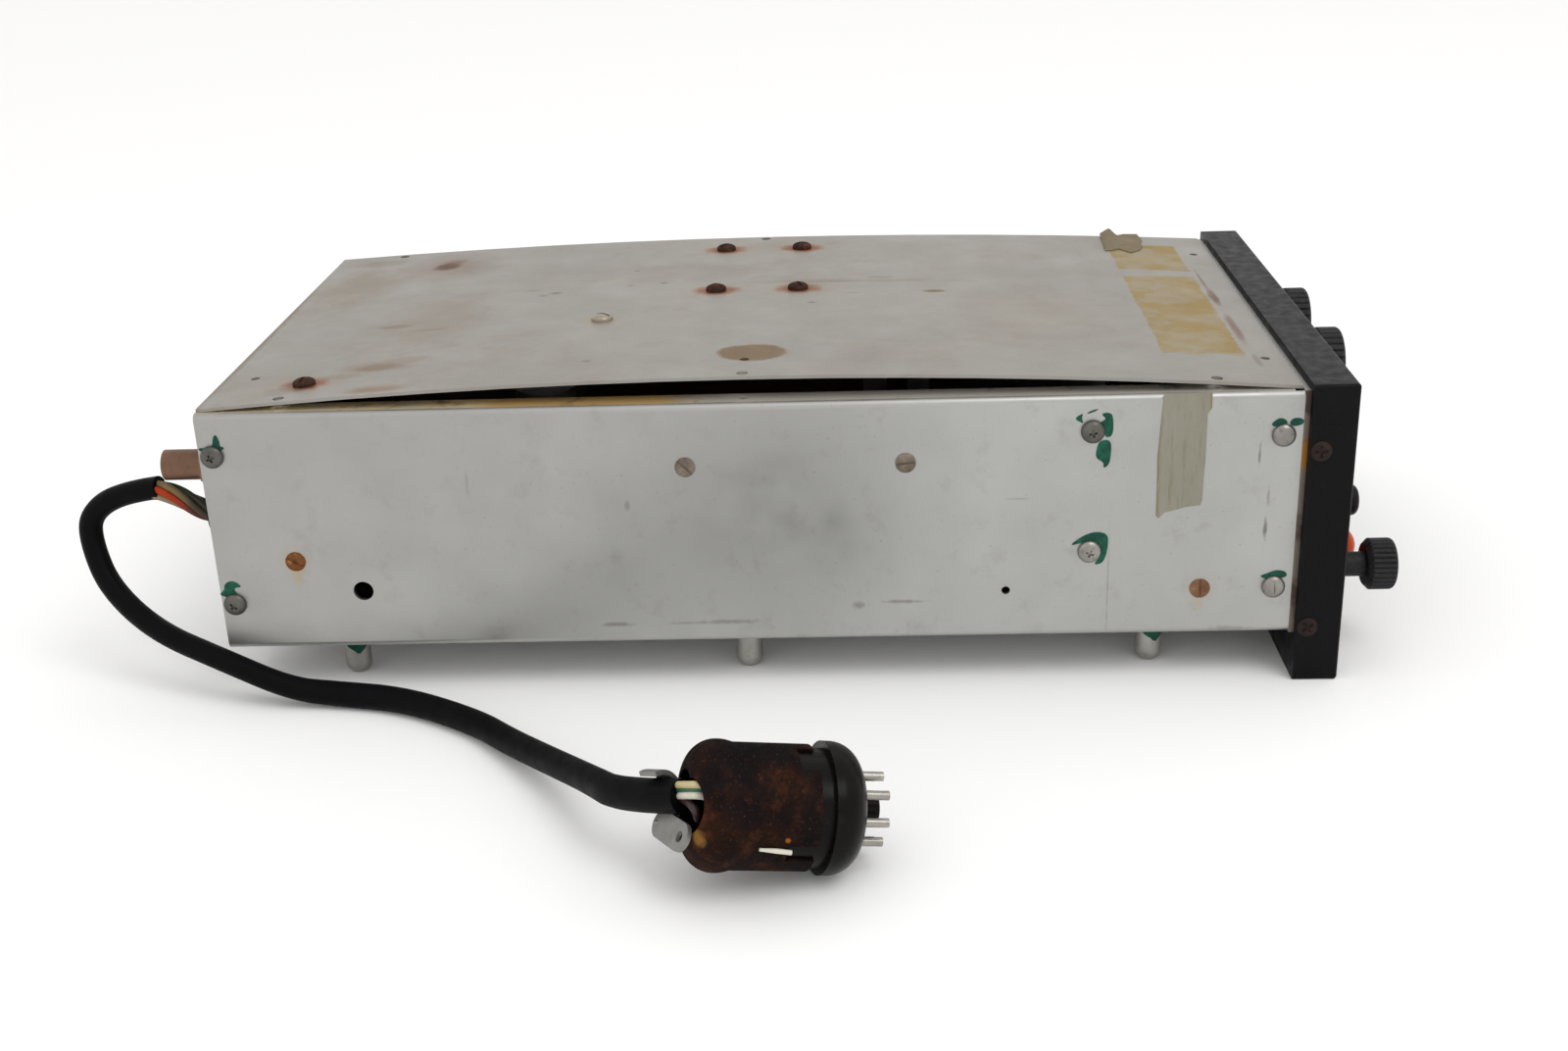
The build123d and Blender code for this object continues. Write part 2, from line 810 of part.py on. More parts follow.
def front_cuts(shape):
    for x, z, radius in front_holes:
        shape -= rod_y(radius, x, z, bezel_front - overcut, cavity_front + overcut)
    shape -= block(window_left, window_right, bezel_front - overcut, cavity_front + overcut, window_low, window_high)
    return shape


bezel = front_cuts(bezel)
for centre, half in bezel_tab_spots:
    bezel -= rod_x(
        screw_radius + screw_gap, bezel_screw_y, centre, -half_bezel - overcut, half_bezel + overcut
    )
save("bezel", bezel)

# Control panel in the bezel's recess and its corner screws
panel_half = rim_half - panel_gap
panel = block(
    -panel_half, panel_half, face_front - panel_sheet, face_front, panel_low + panel_gap, panel_high - panel_gap
)
panel = front_cuts(panel)
save("control_panel", panel)
bezel_screw = flat_screw(flat_radius, flat_height, screw_radius, bezel_wall + front_sheet)
save("bezel_screws", [
    facing((side * half_bezel, bezel_screw_y, centre), (side, 0, 0)) * bezel_screw
    for side in (-1, 1) for centre, half in bezel_tab_spots
])

# Dial lens, dial plate and its spacers
lens_back = cavity_front + lens_sheet
save("dial_lens", block(
    window_left - lens_lap, window_right + lens_lap, cavity_front, lens_back,
    window_low - lens_lap, window_high + lens_lap
))
dial_back = plate_front - dial_back_gap
dial_front = dial_back - dial_sheet
save("dial_plate", block(dial_left, dial_right, dial_front, dial_back, dial_low, dial_high))
save("dial_spacers", [rod_y(spacer_radius, x, z, dial_back, plate_front) for x, z in spacer_spots])

# Drum and idlers share the plane of the dial cord
pulley_far = plate_front - pulley_back
pulley_near = pulley_far - pulley_width
cord_y = (pulley_near + pulley_far) / 2


def pulley(pitch, bore, x, z):
    lip = pitch + pulley_lip
    bed = pitch - cord_radius - running_gap
    half = pulley_width / 2
    outline = [
        (bore, -half), (lip, -half), (lip, -groove_half), (bed, -groove_half),
        (bed, groove_half), (lip, groove_half), (lip, half), (bore, half),
    ]
    return turned(outline, facing((x, cord_y, z), (0, 1, 0)))


drum = pulley(drum_pitch, shaft_radius + running_gap, tune_x, tune_z)
for number in range(drum_hole_count):
    angle = 2 * math.pi * (number + 1 / 2) / drum_hole_count
    x = tune_x + drum_hole_place * math.cos(angle)
    z = tune_z + drum_hole_place * math.sin(angle)
    drum -= rod_y(drum_hole_radius, x, z, pulley_near - overcut, pulley_far + overcut)
save("dial_drum", drum)
idler_rise = drum_pitch - idler_pitch
studs = []
for name, z in (("idler_top", tune_z + idler_rise), ("idler_bottom", tune_z - idler_rise)):
    save(name, pulley(idler_pitch, stud_radius + running_gap, idler_x, z))
    stud = rod_y(stud_radius, idler_x, z, pulley_near - stud_cap, wall_front)
    stud += rod_y(stud_head, idler_x, z, pulley_near - stud_cap - seat_gap, pulley_near - seat_gap)
    studs.append(stud)
save("idler_studs", studs)

# Dial cord: straight runs and arcs that follow the pulleys
run_high = tune_z + drum_pitch
run_low = tune_z - drum_pitch
idler_left = idler_x - idler_pitch
turn_share = math.sqrt(2) / 2
bend = idler_pitch * turn_share
high_z = tune_z + idler_rise
low_z = tune_z - idler_rise
cord_path = Wire([
    Edge.make_line((tune_x, cord_y, run_high), (idler_x, cord_y, run_high)),
    Edge.make_three_point_arc(
        (idler_x, cord_y, run_high), (idler_x - bend, cord_y, high_z + bend), (idler_left, cord_y, high_z)
    ),
    Edge.make_line((idler_left, cord_y, high_z), (idler_left, cord_y, low_z)),
    Edge.make_three_point_arc(
        (idler_left, cord_y, low_z), (idler_x - bend, cord_y, low_z - bend), (idler_x, cord_y, run_low)
    ),
    Edge.make_line((idler_x, cord_y, run_low), (tune_x, cord_y, run_low)),
    Edge.make_three_point_arc(
        (tune_x, cord_y, run_low), (tune_x + drum_pitch, cord_y, tune_z), (tune_x, cord_y, run_high)
    ),
])
cord_ring = Plane(origin=(tune_x, cord_y, run_high), z_dir=(-1, 0, 0)) * Circle(cord_radius)
save("dial_cord", sweep(cord_ring, path=cord_path))

# Pointer: a clip on the upper run, an arm over the dial plate and a blade in front of it
blade_back = dial_front - pointer_gap
blade_front = blade_back - pointer_sheet
clip_near = cord_y - clip_depth / 2
clip_far = cord_y + clip_depth / 2
clip_top = run_high + clip_high
pointer = block(
    pointer_centre - clip_half, pointer_centre + clip_half, clip_near, clip_far, run_high - clip_low, clip_top
)
pointer -= rod_x(
    cord_radius + clip_bore_gap, cord_y, run_high, pointer_centre - clip_half - overcut,
    pointer_centre + clip_half + overcut
)
pointer += block(
    pointer_centre - pointer_width, pointer_centre + pointer_width, blade_front, clip_near,
    clip_top - pointer_sheet, clip_top
)
pointer += block(
    pointer_centre - pointer_width / 2, pointer_centre + pointer_width / 2, blade_front, blade_back,
    pointer_low, clip_top
)
save("dial_pointer", pointer)

# Knobs: a fluted head on a slim hub, bored for the shaft, with an index groove
knob_front = bezel_front - knob_reach
head_back = knob_front + knob_length
hub_back = bezel_front + hub_in_panel


def knob(x, z, radius):
    depth = knob_length - knob_bevel
    bore = shaft_radius + running_gap
    reach = hub_back - knob_front
    rim = radius - knob_round
    middle = (rim + knob_round * turn_share, knob_round - knob_round * turn_share)
    edge = ThreePointArc((rim, 0), middle, (radius, knob_round))
    rest = Polyline(
        (radius, knob_round), (radius, depth), (radius - knob_bevel, knob_length),
        (hub_radius, knob_length), (hub_radius, reach), (bore, reach), (bore, knob_skin), (0, knob_skin),
        (0, 0), (rim, 0)
    )
    shape = revolve(make_face([Plane.XZ * edge, Plane.XZ * rest]), Axis.Z)
    tip = radius - flute_depth
    outer = radius + flute_depth
    cutter = make_face(Polyline((tip, 0), (outer, -flute_width), (outer, flute_width), close=True))
    flute = extrude(cutter, knob_length + overcut)
    flutes = [Rot(0, 0, number * 360 / flute_count) * flute for number in range(flute_count)]
    shape -= flutes
    shape -= Pos(0, radius / 2 + mark_width, 0) * Box(mark_width, radius, 2 * mark_depth)
    place = Plane(origin=(x, knob_front, z), x_dir=(-1, 0, 0), z_dir=(0, 1, 0))
    return place * shape


save("tuning_knob", knob(tune_x, tune_z, knob_radius))
save("volume_knob", knob(volume_x, volume_z, small_knob_radius))
save("selector_knob", knob(select_x, select_z, knob_radius))

# Tuning shaft, bush and variable capacitor
shaft_front = knob_front + knob_skin
gang_near = wall_front + gang_front
gang_far = gang_near + gang_length
save("tuning_shaft", rod_y(shaft_radius, tune_x, tune_z, shaft_front, gang_far))
bush = rod_y(bush_flange, tune_x, tune_z, plate_front - bush_lip, plate_front)
bush += rod_y(bush_radius, tune_x, tune_z, plate_front, wall_front + bush_reach)
bush -= rod_y(shaft_radius + running_gap, tune_x, tune_z, plate_front - overcut, wall_front + overcut)
save("tuning_bushing", bush)
gang_low = tune_z - gang_drop
gang_high = tune_z + gang_drop
gang_left = tune_x - gang_half
gang_right = tune_x + gang_half
frame = block(gang_left, gang_right, gang_near, gang_near + gang_sheet, gang_low, gang_high)
frame += block(gang_left, gang_right, gang_far - gang_sheet, gang_far, gang_low, gang_high)
frame += block(gang_left, gang_right, gang_near, gang_far, gang_low, gang_low + gang_sheet)
for side in (-1, 1):
    for level in (-1, 1):
        frame += rod_y(
            gang_post, tune_x + side * gang_post_x, tune_z + level * gang_post_drop, wall_front, gang_near
        )
frame -= rod_y(shaft_radius + running_gap, tune_x, tune_z, gang_near - overcut, gang_far + overcut)
save("capacitor_frame", frame)
rotor_near = wall_front + rotor_front
rotor = rod_y(rotor_hub, tune_x, tune_z, rotor_near, rotor_near + rotor_length)
half_disc = Circle(plate_radius) - Pos(-plate_radius, 0) * Rectangle(2 * plate_radius, 4 * plate_radius)
plates_near = rotor_near + plate_pitch
for number in range(plate_count):
    y = plates_near + number * plate_pitch
    place = Plane(origin=(tune_x, y, tune_z), x_dir=(1, 0, 0), z_dir=(0, 1, 0))
    rotor += place * extrude(half_disc, plate_sheet)
rotor -= rod_y(shaft_radius + running_gap, tune_x, tune_z, gang_near, gang_far)
save("capacitor_rotor", rotor)
stator_high = tune_z - rotor_hub - stator_gap
stator_low = tune_z - stator_drop
ties_near = gang_near + gang_sheet
ties_far = gang_far - gang_sheet
stator = rod_y(tie_radius, tune_x - tie_x, tune_z - tie_drop, ties_near, ties_far)
stator += rod_y(tie_radius, tune_x + tie_x, tune_z - tie_drop, ties_near, ties_far)
for number in range(plate_count - 1):
    y = plates_near + (number + 1 / 2) * plate_pitch
    stator += block(
        tune_x - stator_half, tune_x + stator_half, y, y + plate_sheet, stator_low, stator_high
    )
save("capacitor_stator", stator)

# Volume control
pot_back = wall_front + pot_depth
pot = rod_y(pot_radius, volume_x, volume_z, wall_front, pot_back)
pot += rod_y(pot_bush, volume_x, volume_z, plate_front - pot_bush_reach, wall_front)
pot -= rod_y(
    shaft_radius + running_gap, volume_x, volume_z, plate_front - pot_bush_reach - overcut,
    wall_front + pot_bore_depth
)
save("volume_pot", pot)
save("volume_shaft", rod_y(
    shaft_radius, volume_x, volume_z, shaft_front, wall_front + pot_bore_depth - seat_gap
))

# Selector: an index plate and two wafers on tie rods, with contact rotors on the shaft
switch = rod_y(select_radius, select_x, select_z, wall_front, wall_front + select_plate)
switch += rod_y(pot_bush, select_x, select_z, plate_front - pot_bush_reach, wall_front)
select_shaft = rod_y(
    shaft_radius, select_x, select_z, shaft_front, wall_front + wafer_spots[-1] + wafer_sheet
)
for side in (-1, 1):
    switch += rod_y(
        select_tie, select_x + side * select_tie_x, select_z, wall_front, wall_front + wafer_spots[-1]
    )
switch -= rod_y(
    shaft_radius + running_gap, select_x, select_z, plate_front - pot_bush_reach - overcut,
    wall_front + select_plate + overcut
)
for along in wafer_spots:
    near = wall_front + along
    wafer = rod_y(select_radius, select_x, select_z, near, near + wafer_sheet)
    wafer -= rod_y(wafer_bore, select_x, select_z, near - overcut, near + overcut)
    switch += wafer
    select_shaft += rod_y(wafer_rotor, select_x, select_z, near, near + wafer_sheet)
save("selector_switch", switch)
save("selector_shaft", select_shaft)

# Nuts on the two threaded bushes
nut_ring = RegularPolygon(control_nut, 6) - Circle(pot_bush + running_gap)
save("control_nuts", [
    facing((x, plate_front, z), (0, -1, 0)) * extrude(nut_ring, control_nut_sheet)
    for x, z in ((volume_x, volume_z), (select_x, select_z))
])

# Push button on a stem that slides in its switch
stem_far = wall_front + stem_end
head_far = bezel_front + button_head_back
button_front = bezel_front - button_tip
button = rod_y(button_radius, button_x, button_z, button_front, head_far)
button = fillet(button.edges().group_by(Axis.Y)[0], button_round)
button += rod_y(button_stem, button_x, button_z, head_far, stem_far)
save("test_button", button)
switch_half = switch_width / 2
push_switch = block(
    button_x - switch_half, button_x + switch_half, wall_front, wall_front + switch_depth,
    button_z - switch_half, button_z + switch_half
)
push_switch -= rod_y(
    button_stem + running_gap, button_x, button_z, wall_front - overcut, wall_front + switch_bore
)
save("button_switch", push_switch)

# Lamp: a hollow amber jewel in front, a holder in the plate and a bulb between
jewel_straight_y = jewel_lip_sheet + (cavity_front - bezel_front) + jewel_straight
jewel_top = jewel_straight_y + jewel_radius
inner = jewel_radius - jewel_wall
jewel_mid = jewel_radius * turn_share
outer_arc = ThreePointArc(
    (jewel_radius, jewel_straight_y), (jewel_mid, jewel_straight_y + jewel_mid), (0, jewel_top)
)
inner_top = jewel_straight_y
jewel_line = Polyline(
    (0, jewel_top), (0, inner_top), (inner, inner_top), (inner, 0), (jewel_lip, 0), (jewel_lip, jewel_lip_sheet),
    (jewel_radius, jewel_lip_sheet), (jewel_radius, jewel_straight_y)
)
jewel_shape = revolve(make_face([Plane.XZ * outer_arc, Plane.XZ * jewel_line]), Axis.Z)
jewel_back = cavity_front + jewel_lip_sheet
save("lamp_jewel", facing((lamp_x, jewel_back, lamp_z), (0, -1, 0)) * jewel_shape)
holder = rod_y(holder_flange, lamp_x, lamp_z, plate_front - holder_lip, plate_front)
holder += rod_y(holder_radius, lamp_x, lamp_z, plate_front, wall_front + holder_reach)
holder -= rod_y(
    bulb_base + running_gap, lamp_x, lamp_z, plate_front - overcut, wall_front + bulb_sink + running_gap
)
save("lamp_holder", holder)
glass_back = plate_front - holder_lip - running_gap
bulb_front = bezel_front - bulb_tip
bulb = rod_y(bulb_radius, lamp_x, lamp_z, bulb_front, glass_back)
bulb = fillet(bulb.edges().group_by(Axis.Y)[0], bulb_base)
bulb += rod_y(bulb_base, lamp_x, lamp_z, glass_back, wall_front + bulb_sink)
save("lamp_bulb", bulb)

# Rear jack with its nut and insulator, and the grommet for the lead
jack_line = [
    (jack_bore, -sheet - jack_flange_sheet), (jack_flange, -sheet - jack_flange_sheet), (jack_flange, -sheet),
    (jack_neck, -sheet), (jack_neck, jack_skirt), (jack_barrel, jack_skirt), (jack_barrel, jack_reach),
    (jack_bore, jack_reach),
]
save("antenna_jack", turned(jack_line, facing((jack_x, wall_rear, jack_z), (0, 1, 0))))
insulator_line = [
    (socket_bore, -sheet - jack_flange_sheet), (jack_bore - running_gap, -sheet - jack_flange_sheet),
    (jack_bore - running_gap, jack_reach - insulator_sink), (socket_bore, jack_reach - insulator_sink),
]
save("jack_insulator", turned(insulator_line, facing((jack_x, wall_rear, jack_z), (0, 1, 0))))
jack_ring = RegularPolygon(jack_nut_radius, 6) - Circle(jack_neck + running_gap)
save("jack_nut", facing((jack_x, wall_rear, jack_z), (0, 1, 0)) * extrude(jack_ring, jack_nut_sheet))
grommet_line = [
    (grommet_bore, -sheet - grommet_lip), (grommet_radius, -sheet - grommet_lip), (grommet_radius, -sheet),
    (grommet_neck, -sheet), (grommet_neck, 0), (grommet_radius, 0), (grommet_radius, grommet_lip),
    (grommet_bore, grommet_lip),
]
save("grommet", turned(grommet_line, facing((grommet_x, wall_rear, grommet_z), (0, 1, 0))))

# Plug axes: the pins point along plug_way from the front of its flange
yaw = math.radians(plug_yaw)
pitch = math.radians(plug_pitch)
plug_way = (math.sin(yaw) * math.cos(pitch), -math.cos(yaw) * math.cos(pitch), -math.sin(pitch))
core = flange_radius - flange_round
plug_centre_z = core * math.cos(pitch) + flange_round * (1 - math.sin(pitch))
plug_centre = (-half_body - plug_out, wall_rear - plug_forward, plug_centre_z)
plug_place = Plane(origin=plug_centre, x_dir=(math.cos(yaw), math.sin(yaw), 0), z_dir=plug_way)
base_radius = cap_radius - cap_sheet
round_mid = flange_round * turn_share
base_arc = ThreePointArc((core, 0), (core + round_mid, round_mid - flange_round), (flange_radius, -flange_round))
base_line = Polyline(
    (flange_radius, -flange_round), (flange_radius, -flange_sheet), (base_radius - running_gap, -flange_sheet),
    (base_radius - running_gap, -base_length), (0, -base_length), (0, 0), (core, 0)
)
plug_base = revolve(make_face([Plane.XZ * base_arc, Plane.XZ * base_line]), Axis.Z)
pin_ring = pin_circle / 2
pin_places = []
for number in range(pin_count):
    angle = math.radians(pin_turn + number * 360 / pin_count)
    pin_places.append((pin_ring * math.cos(angle), pin_ring * math.sin(angle)))
for x, y in pin_places:
    plug_base -= rod_z(pin_root + running_gap, x, y, -pin_sink, overcut)
plug_base += rod_z(key_radius, 0, 0, 0, key_length)
plug_base += Rot(0, 0, pin_turn - 180 / pin_count) * block(
    -key_rib / 2, key_rib / 2, 0, key_radius + key_rise, 0, key_length
)
save("plug_base", plug_place * plug_base)
pins = []
for x, y in pin_places:
    pins.append(plug_place * (rod_z(pin_root, x, y, -pin_sink, 0) + rod_z(pin_radius, x, y, 0, pin_length)))
save("plug_pins", pins)

# Plug cap: a thin shell with a neck, a bead, a round shoulder and a mouth widened on one side
mouth_edge = cap_bead - shoulder_round
cap_rear = bead_place + shoulder_round
inner_round = shoulder_round - cap_sheet
outer_mid = shoulder_round * turn_share
inner_mid = inner_round * turn_share
neck_arc = ThreePointArc(
    (cap_radius, -neck_place), (cap_radius + neck_rise, -neck_middle), (cap_bead, -bead_place)
)
shoulder_arc = ThreePointArc(
    (cap_bead, -bead_place), (mouth_edge + outer_mid, -bead_place - outer_mid), (mouth_edge, -cap_rear)
)
lining_arc = ThreePointArc(
    (mouth_edge, -cap_rear + cap_sheet), (mouth_edge + inner_mid, -bead_place - inner_mid),
    (cap_bead - cap_sheet, -bead_place)
)
cap_side = Polyline(
    (base_radius, -neck_place), (base_radius, -cap_front), (cap_radius, -cap_front), (cap_radius, -neck_place)
)
cap_lip = Line((mouth_edge, -cap_rear), (mouth_edge, -cap_rear + cap_sheet))
cap_inside = Line((cap_bead - cap_sheet, -bead_place), (base_radius, -neck_place))
cap_edges = [neck_arc, shoulder_arc, lining_arc, cap_side, cap_lip, cap_inside]
plug_cap = revolve(make_face([Plane.XZ * edge for edge in cap_edges]), Axis.Z)
plug_cap -= rod_z(mouth_cut_radius, mouth_cut_x, mouth_cut_y, -cap_rear - overcut, -cap_rear + mouth_cut_depth)
cap_notches = (
    (notch_turn, notch_width, notch_depth),
    (slot_notch_turn, slot_notch_width, slot_notch_depth),
)
for turn, width, depth in cap_notches:
    notch = block(
        cap_radius - overcut, cap_radius + overcut, -width / 2, width / 2,
        -cap_front - depth, -cap_front + overcut
    )
    plug_cap -= Rot(0, 0, turn) * notch
save("plug_cap", plug_place * plug_cap)

# Lead: bare wires from the grommet, then a sleeve to the plug, both in straight runs and arcs


def tube(name, route, radius):
    pieces = []
    bends = []
    last_end = route[0]
    for before, here, after in zip(route, route[1:], route[2:]):
        coming = (here - before).normalized()
        going = (after - here).normalized()
        turn = math.radians(coming.get_angle(going))
        trim = corner_share * min((here - before).length, (after - here).length)
        bend_size = trim / math.tan(turn / 2)
        arc_start = here - coming * trim
        arc_end = here + going * trim
        arc_middle = here + (going - coming).normalized() * bend_size * (1 / math.cos(turn / 2) - 1)
        pieces.append(Edge.make_line(last_end, arc_start))
        pieces.append(Edge.make_three_point_arc(arc_start, arc_middle, arc_end))
        bends.append(round(bend_size, 1))
        last_end = arc_end
    pieces.append(Edge.make_line(last_end, route[-1]))
    path = Wire(pieces)
    ring = Plane(origin=route[0], z_dir=route[1] - route[0]) * Circle(radius)
    shape = sweep(ring, path=path)
    full = math.pi * radius ** 2 * path.length
    print(name, "bend radii", bends, "length", round(path.length, 1), "volume share", round(shape.volume / full, 4))
    return shape


bundle_in = Vector(grommet_x, wall_rear - bundle_sink, grommet_z)
bundle_turn = Vector(grommet_x, wall_rear + bundle_run, grommet_z)
rear_corner = Vector(-half_body, wall_rear, 0)
sleeve_mouth = rear_corner + Vector(*sleeve_start) + Vector(0, 0, grommet_z)
lead_way = (sleeve_mouth - bundle_turn).normalized()
bundle_out = sleeve_mouth - lead_way * running_gap
save("wire_bundle", tube("wire_bundle", [bundle_in, bundle_turn, bundle_out], bundle_radius))
sleeve_points = [sleeve_mouth, sleeve_mouth + lead_way * sleeve_lead]
sleeve_points += [rear_corner + Vector(*spot) for spot in sleeve_route]
save("cable_sleeve", tube("cable_sleeve", sleeve_points, sleeve_radius))

# Cable clamp: half a ring behind the end of the sleeve, with a drilled ear from its lower end
last_run = (sleeve_points[-1] - sleeve_points[-2]).normalized()
clamp_origin = sleeve_points[-1] - last_run * clamp_back
clamp_place = Plane(origin=clamp_origin, x_dir=(0, 0, 1), z_dir=last_run)
clamp_slack = clamp_ring - clamp_sheet - sleeve_radius - seat_gap
clamp_shift = math.sqrt(clamp_slack ** 2 - clamp_drop ** 2)
open_side = Pos(0, clamp_ring) * Rectangle(clamp_ring * 3, clamp_ring * 2)
half_ring = Circle(clamp_ring) - Circle(clamp_ring - clamp_sheet) - open_side
clamp = clamp_place * extrude(Pos(-clamp_drop, clamp_shift) * half_ring, clamp_width)
ear_start = clamp_place.from_local_coords((clamp_sheet / 2 - clamp_drop - clamp_ring, clamp_shift, clamp_width / 2))
ear_end = plug_place.from_local_coords(ear_eye)
ear_line = (ear_end - ear_start).normalized()
ear_out = plug_place.from_local_coords(ear_facing) - Vector(*plug_centre)
ear_normal = ear_out - ear_line * ear_out.dot(ear_line)
ear_place = Plane(origin=ear_start, x_dir=ear_line, z_dir=ear_normal)
ear_length = (ear_end - ear_start).length
ear = Pos(ear_length / 2, 0) * SlotCenterToCenter(ear_length, ear_width) - Pos(ear_length, 0) * Circle(clamp_hole)
clamp += ear_place * extrude(ear, clamp_sheet / 2, both=True)
save("plug_clamp", clamp)
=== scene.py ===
import bmesh
import bpy
import math
from mathutils import Matrix, Vector


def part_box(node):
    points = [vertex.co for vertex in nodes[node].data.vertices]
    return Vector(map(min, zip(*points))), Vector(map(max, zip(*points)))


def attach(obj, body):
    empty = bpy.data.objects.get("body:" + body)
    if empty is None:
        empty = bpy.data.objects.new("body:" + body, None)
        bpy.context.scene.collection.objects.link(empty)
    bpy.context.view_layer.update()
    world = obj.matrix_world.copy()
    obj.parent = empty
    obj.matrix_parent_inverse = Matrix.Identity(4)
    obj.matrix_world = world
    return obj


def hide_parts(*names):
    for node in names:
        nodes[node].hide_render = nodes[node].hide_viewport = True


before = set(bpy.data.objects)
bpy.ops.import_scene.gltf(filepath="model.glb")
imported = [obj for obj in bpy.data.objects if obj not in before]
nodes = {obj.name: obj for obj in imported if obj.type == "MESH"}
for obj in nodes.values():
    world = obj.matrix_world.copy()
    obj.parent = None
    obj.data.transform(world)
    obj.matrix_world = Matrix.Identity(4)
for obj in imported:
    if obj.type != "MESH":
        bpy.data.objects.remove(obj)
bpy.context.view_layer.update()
scene = bpy.context.scene


# Sizes and places are written in millimetres, and mm turns them into metres
def mm(*values):
    return Vector([value / 1000 for value in values])


def box_mm(node):
    return [[round(value * 1000, 2) for value in corner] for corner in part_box(node)]


# Stations taken from the frame
(_, WALL_FRONT, FLOOR_LOW), (HALF_BODY, WALL_REAR, WALL_TOP) = box_mm("chassis")
MIDDLE = (WALL_FRONT + WALL_REAR) / 2
HALF_BEZEL = box_mm("bezel")[1][0]
HALF_COVER = box_mm("top_cover")[1][0]
DIAL_FRONT = box_mm("dial_plate")[0][1]
PANEL_FRONT = box_mm("control_panel")[0][1]

# The bow of the cover, and places of screws, repeated from the part
COVER_SHEET, COVER_END_GAP = 1.0, 0.4
NEAR_BOW, FAR_BOW = 6.4, 4.6
GROUP_X, GROUP_ALONG = 39.2, 158.75
GROUP_HALF_X, GROUP_HALF_ALONG = 28.65, 13.6
RUSTY_SCREWS = [
    (GROUP_X + across * GROUP_HALF_X, GROUP_ALONG + step * GROUP_HALF_ALONG)
    for across in (-1, 1) for step in (-1, 1)
] + [(-71.8, 289.0)]
BRIGHT_SCREW = (-21.1, 206.6)
REAR_ALONG, PAIR_ALONG, FRONT_ALONG = 313.5, 59.3, 5.4
HIGH_UP, LOW_UP = 62.0, 15.0
STRIP_SCREWS_UP, STRIP_SCREWS = 55.8, ((176.1, 45), (112.5, 95))
ORANGE_SCREW, RED_SCREW = (293.5, 28.4), (26.7, 14.7)
UPPER_SCREW, LOWER_SCREW = (PAIR_ALONG, 64.2), (PAIR_ALONG, 27.2)
BEZEL_SCREW_Y, BEZEL_SCREW_HEIGHTS = -154.2, (72.45, 17.45)
FOOT_X, FOOT_RADIUS = -74.5, 4.0


def cover_top(x, along):
    reach = (WALL_REAR - WALL_FRONT) / 2 - COVER_END_GAP
    bow = NEAR_BOW + (FAR_BOW - NEAR_BOW) * (x + HALF_COVER) / (2 * HALF_COVER)
    return WALL_TOP + COVER_SHEET + bow * (1 - ((WALL_FRONT + along - MIDDLE) / reach) ** 2)


def cover_tilt(x, along):
    return math.atan((cover_top(x, along + 1) - cover_top(x, along - 1)) / 2)


def on_top(x, along):
    return x, WALL_FRONT + along, 0


def on_wall(along, up):
    return -HALF_BODY, WALL_FRONT + along, FLOOR_LOW + up


# Materials
def as_input(colour):
    return colour if isinstance(colour, bpy.types.NodeSocket) else (*colour, 1)


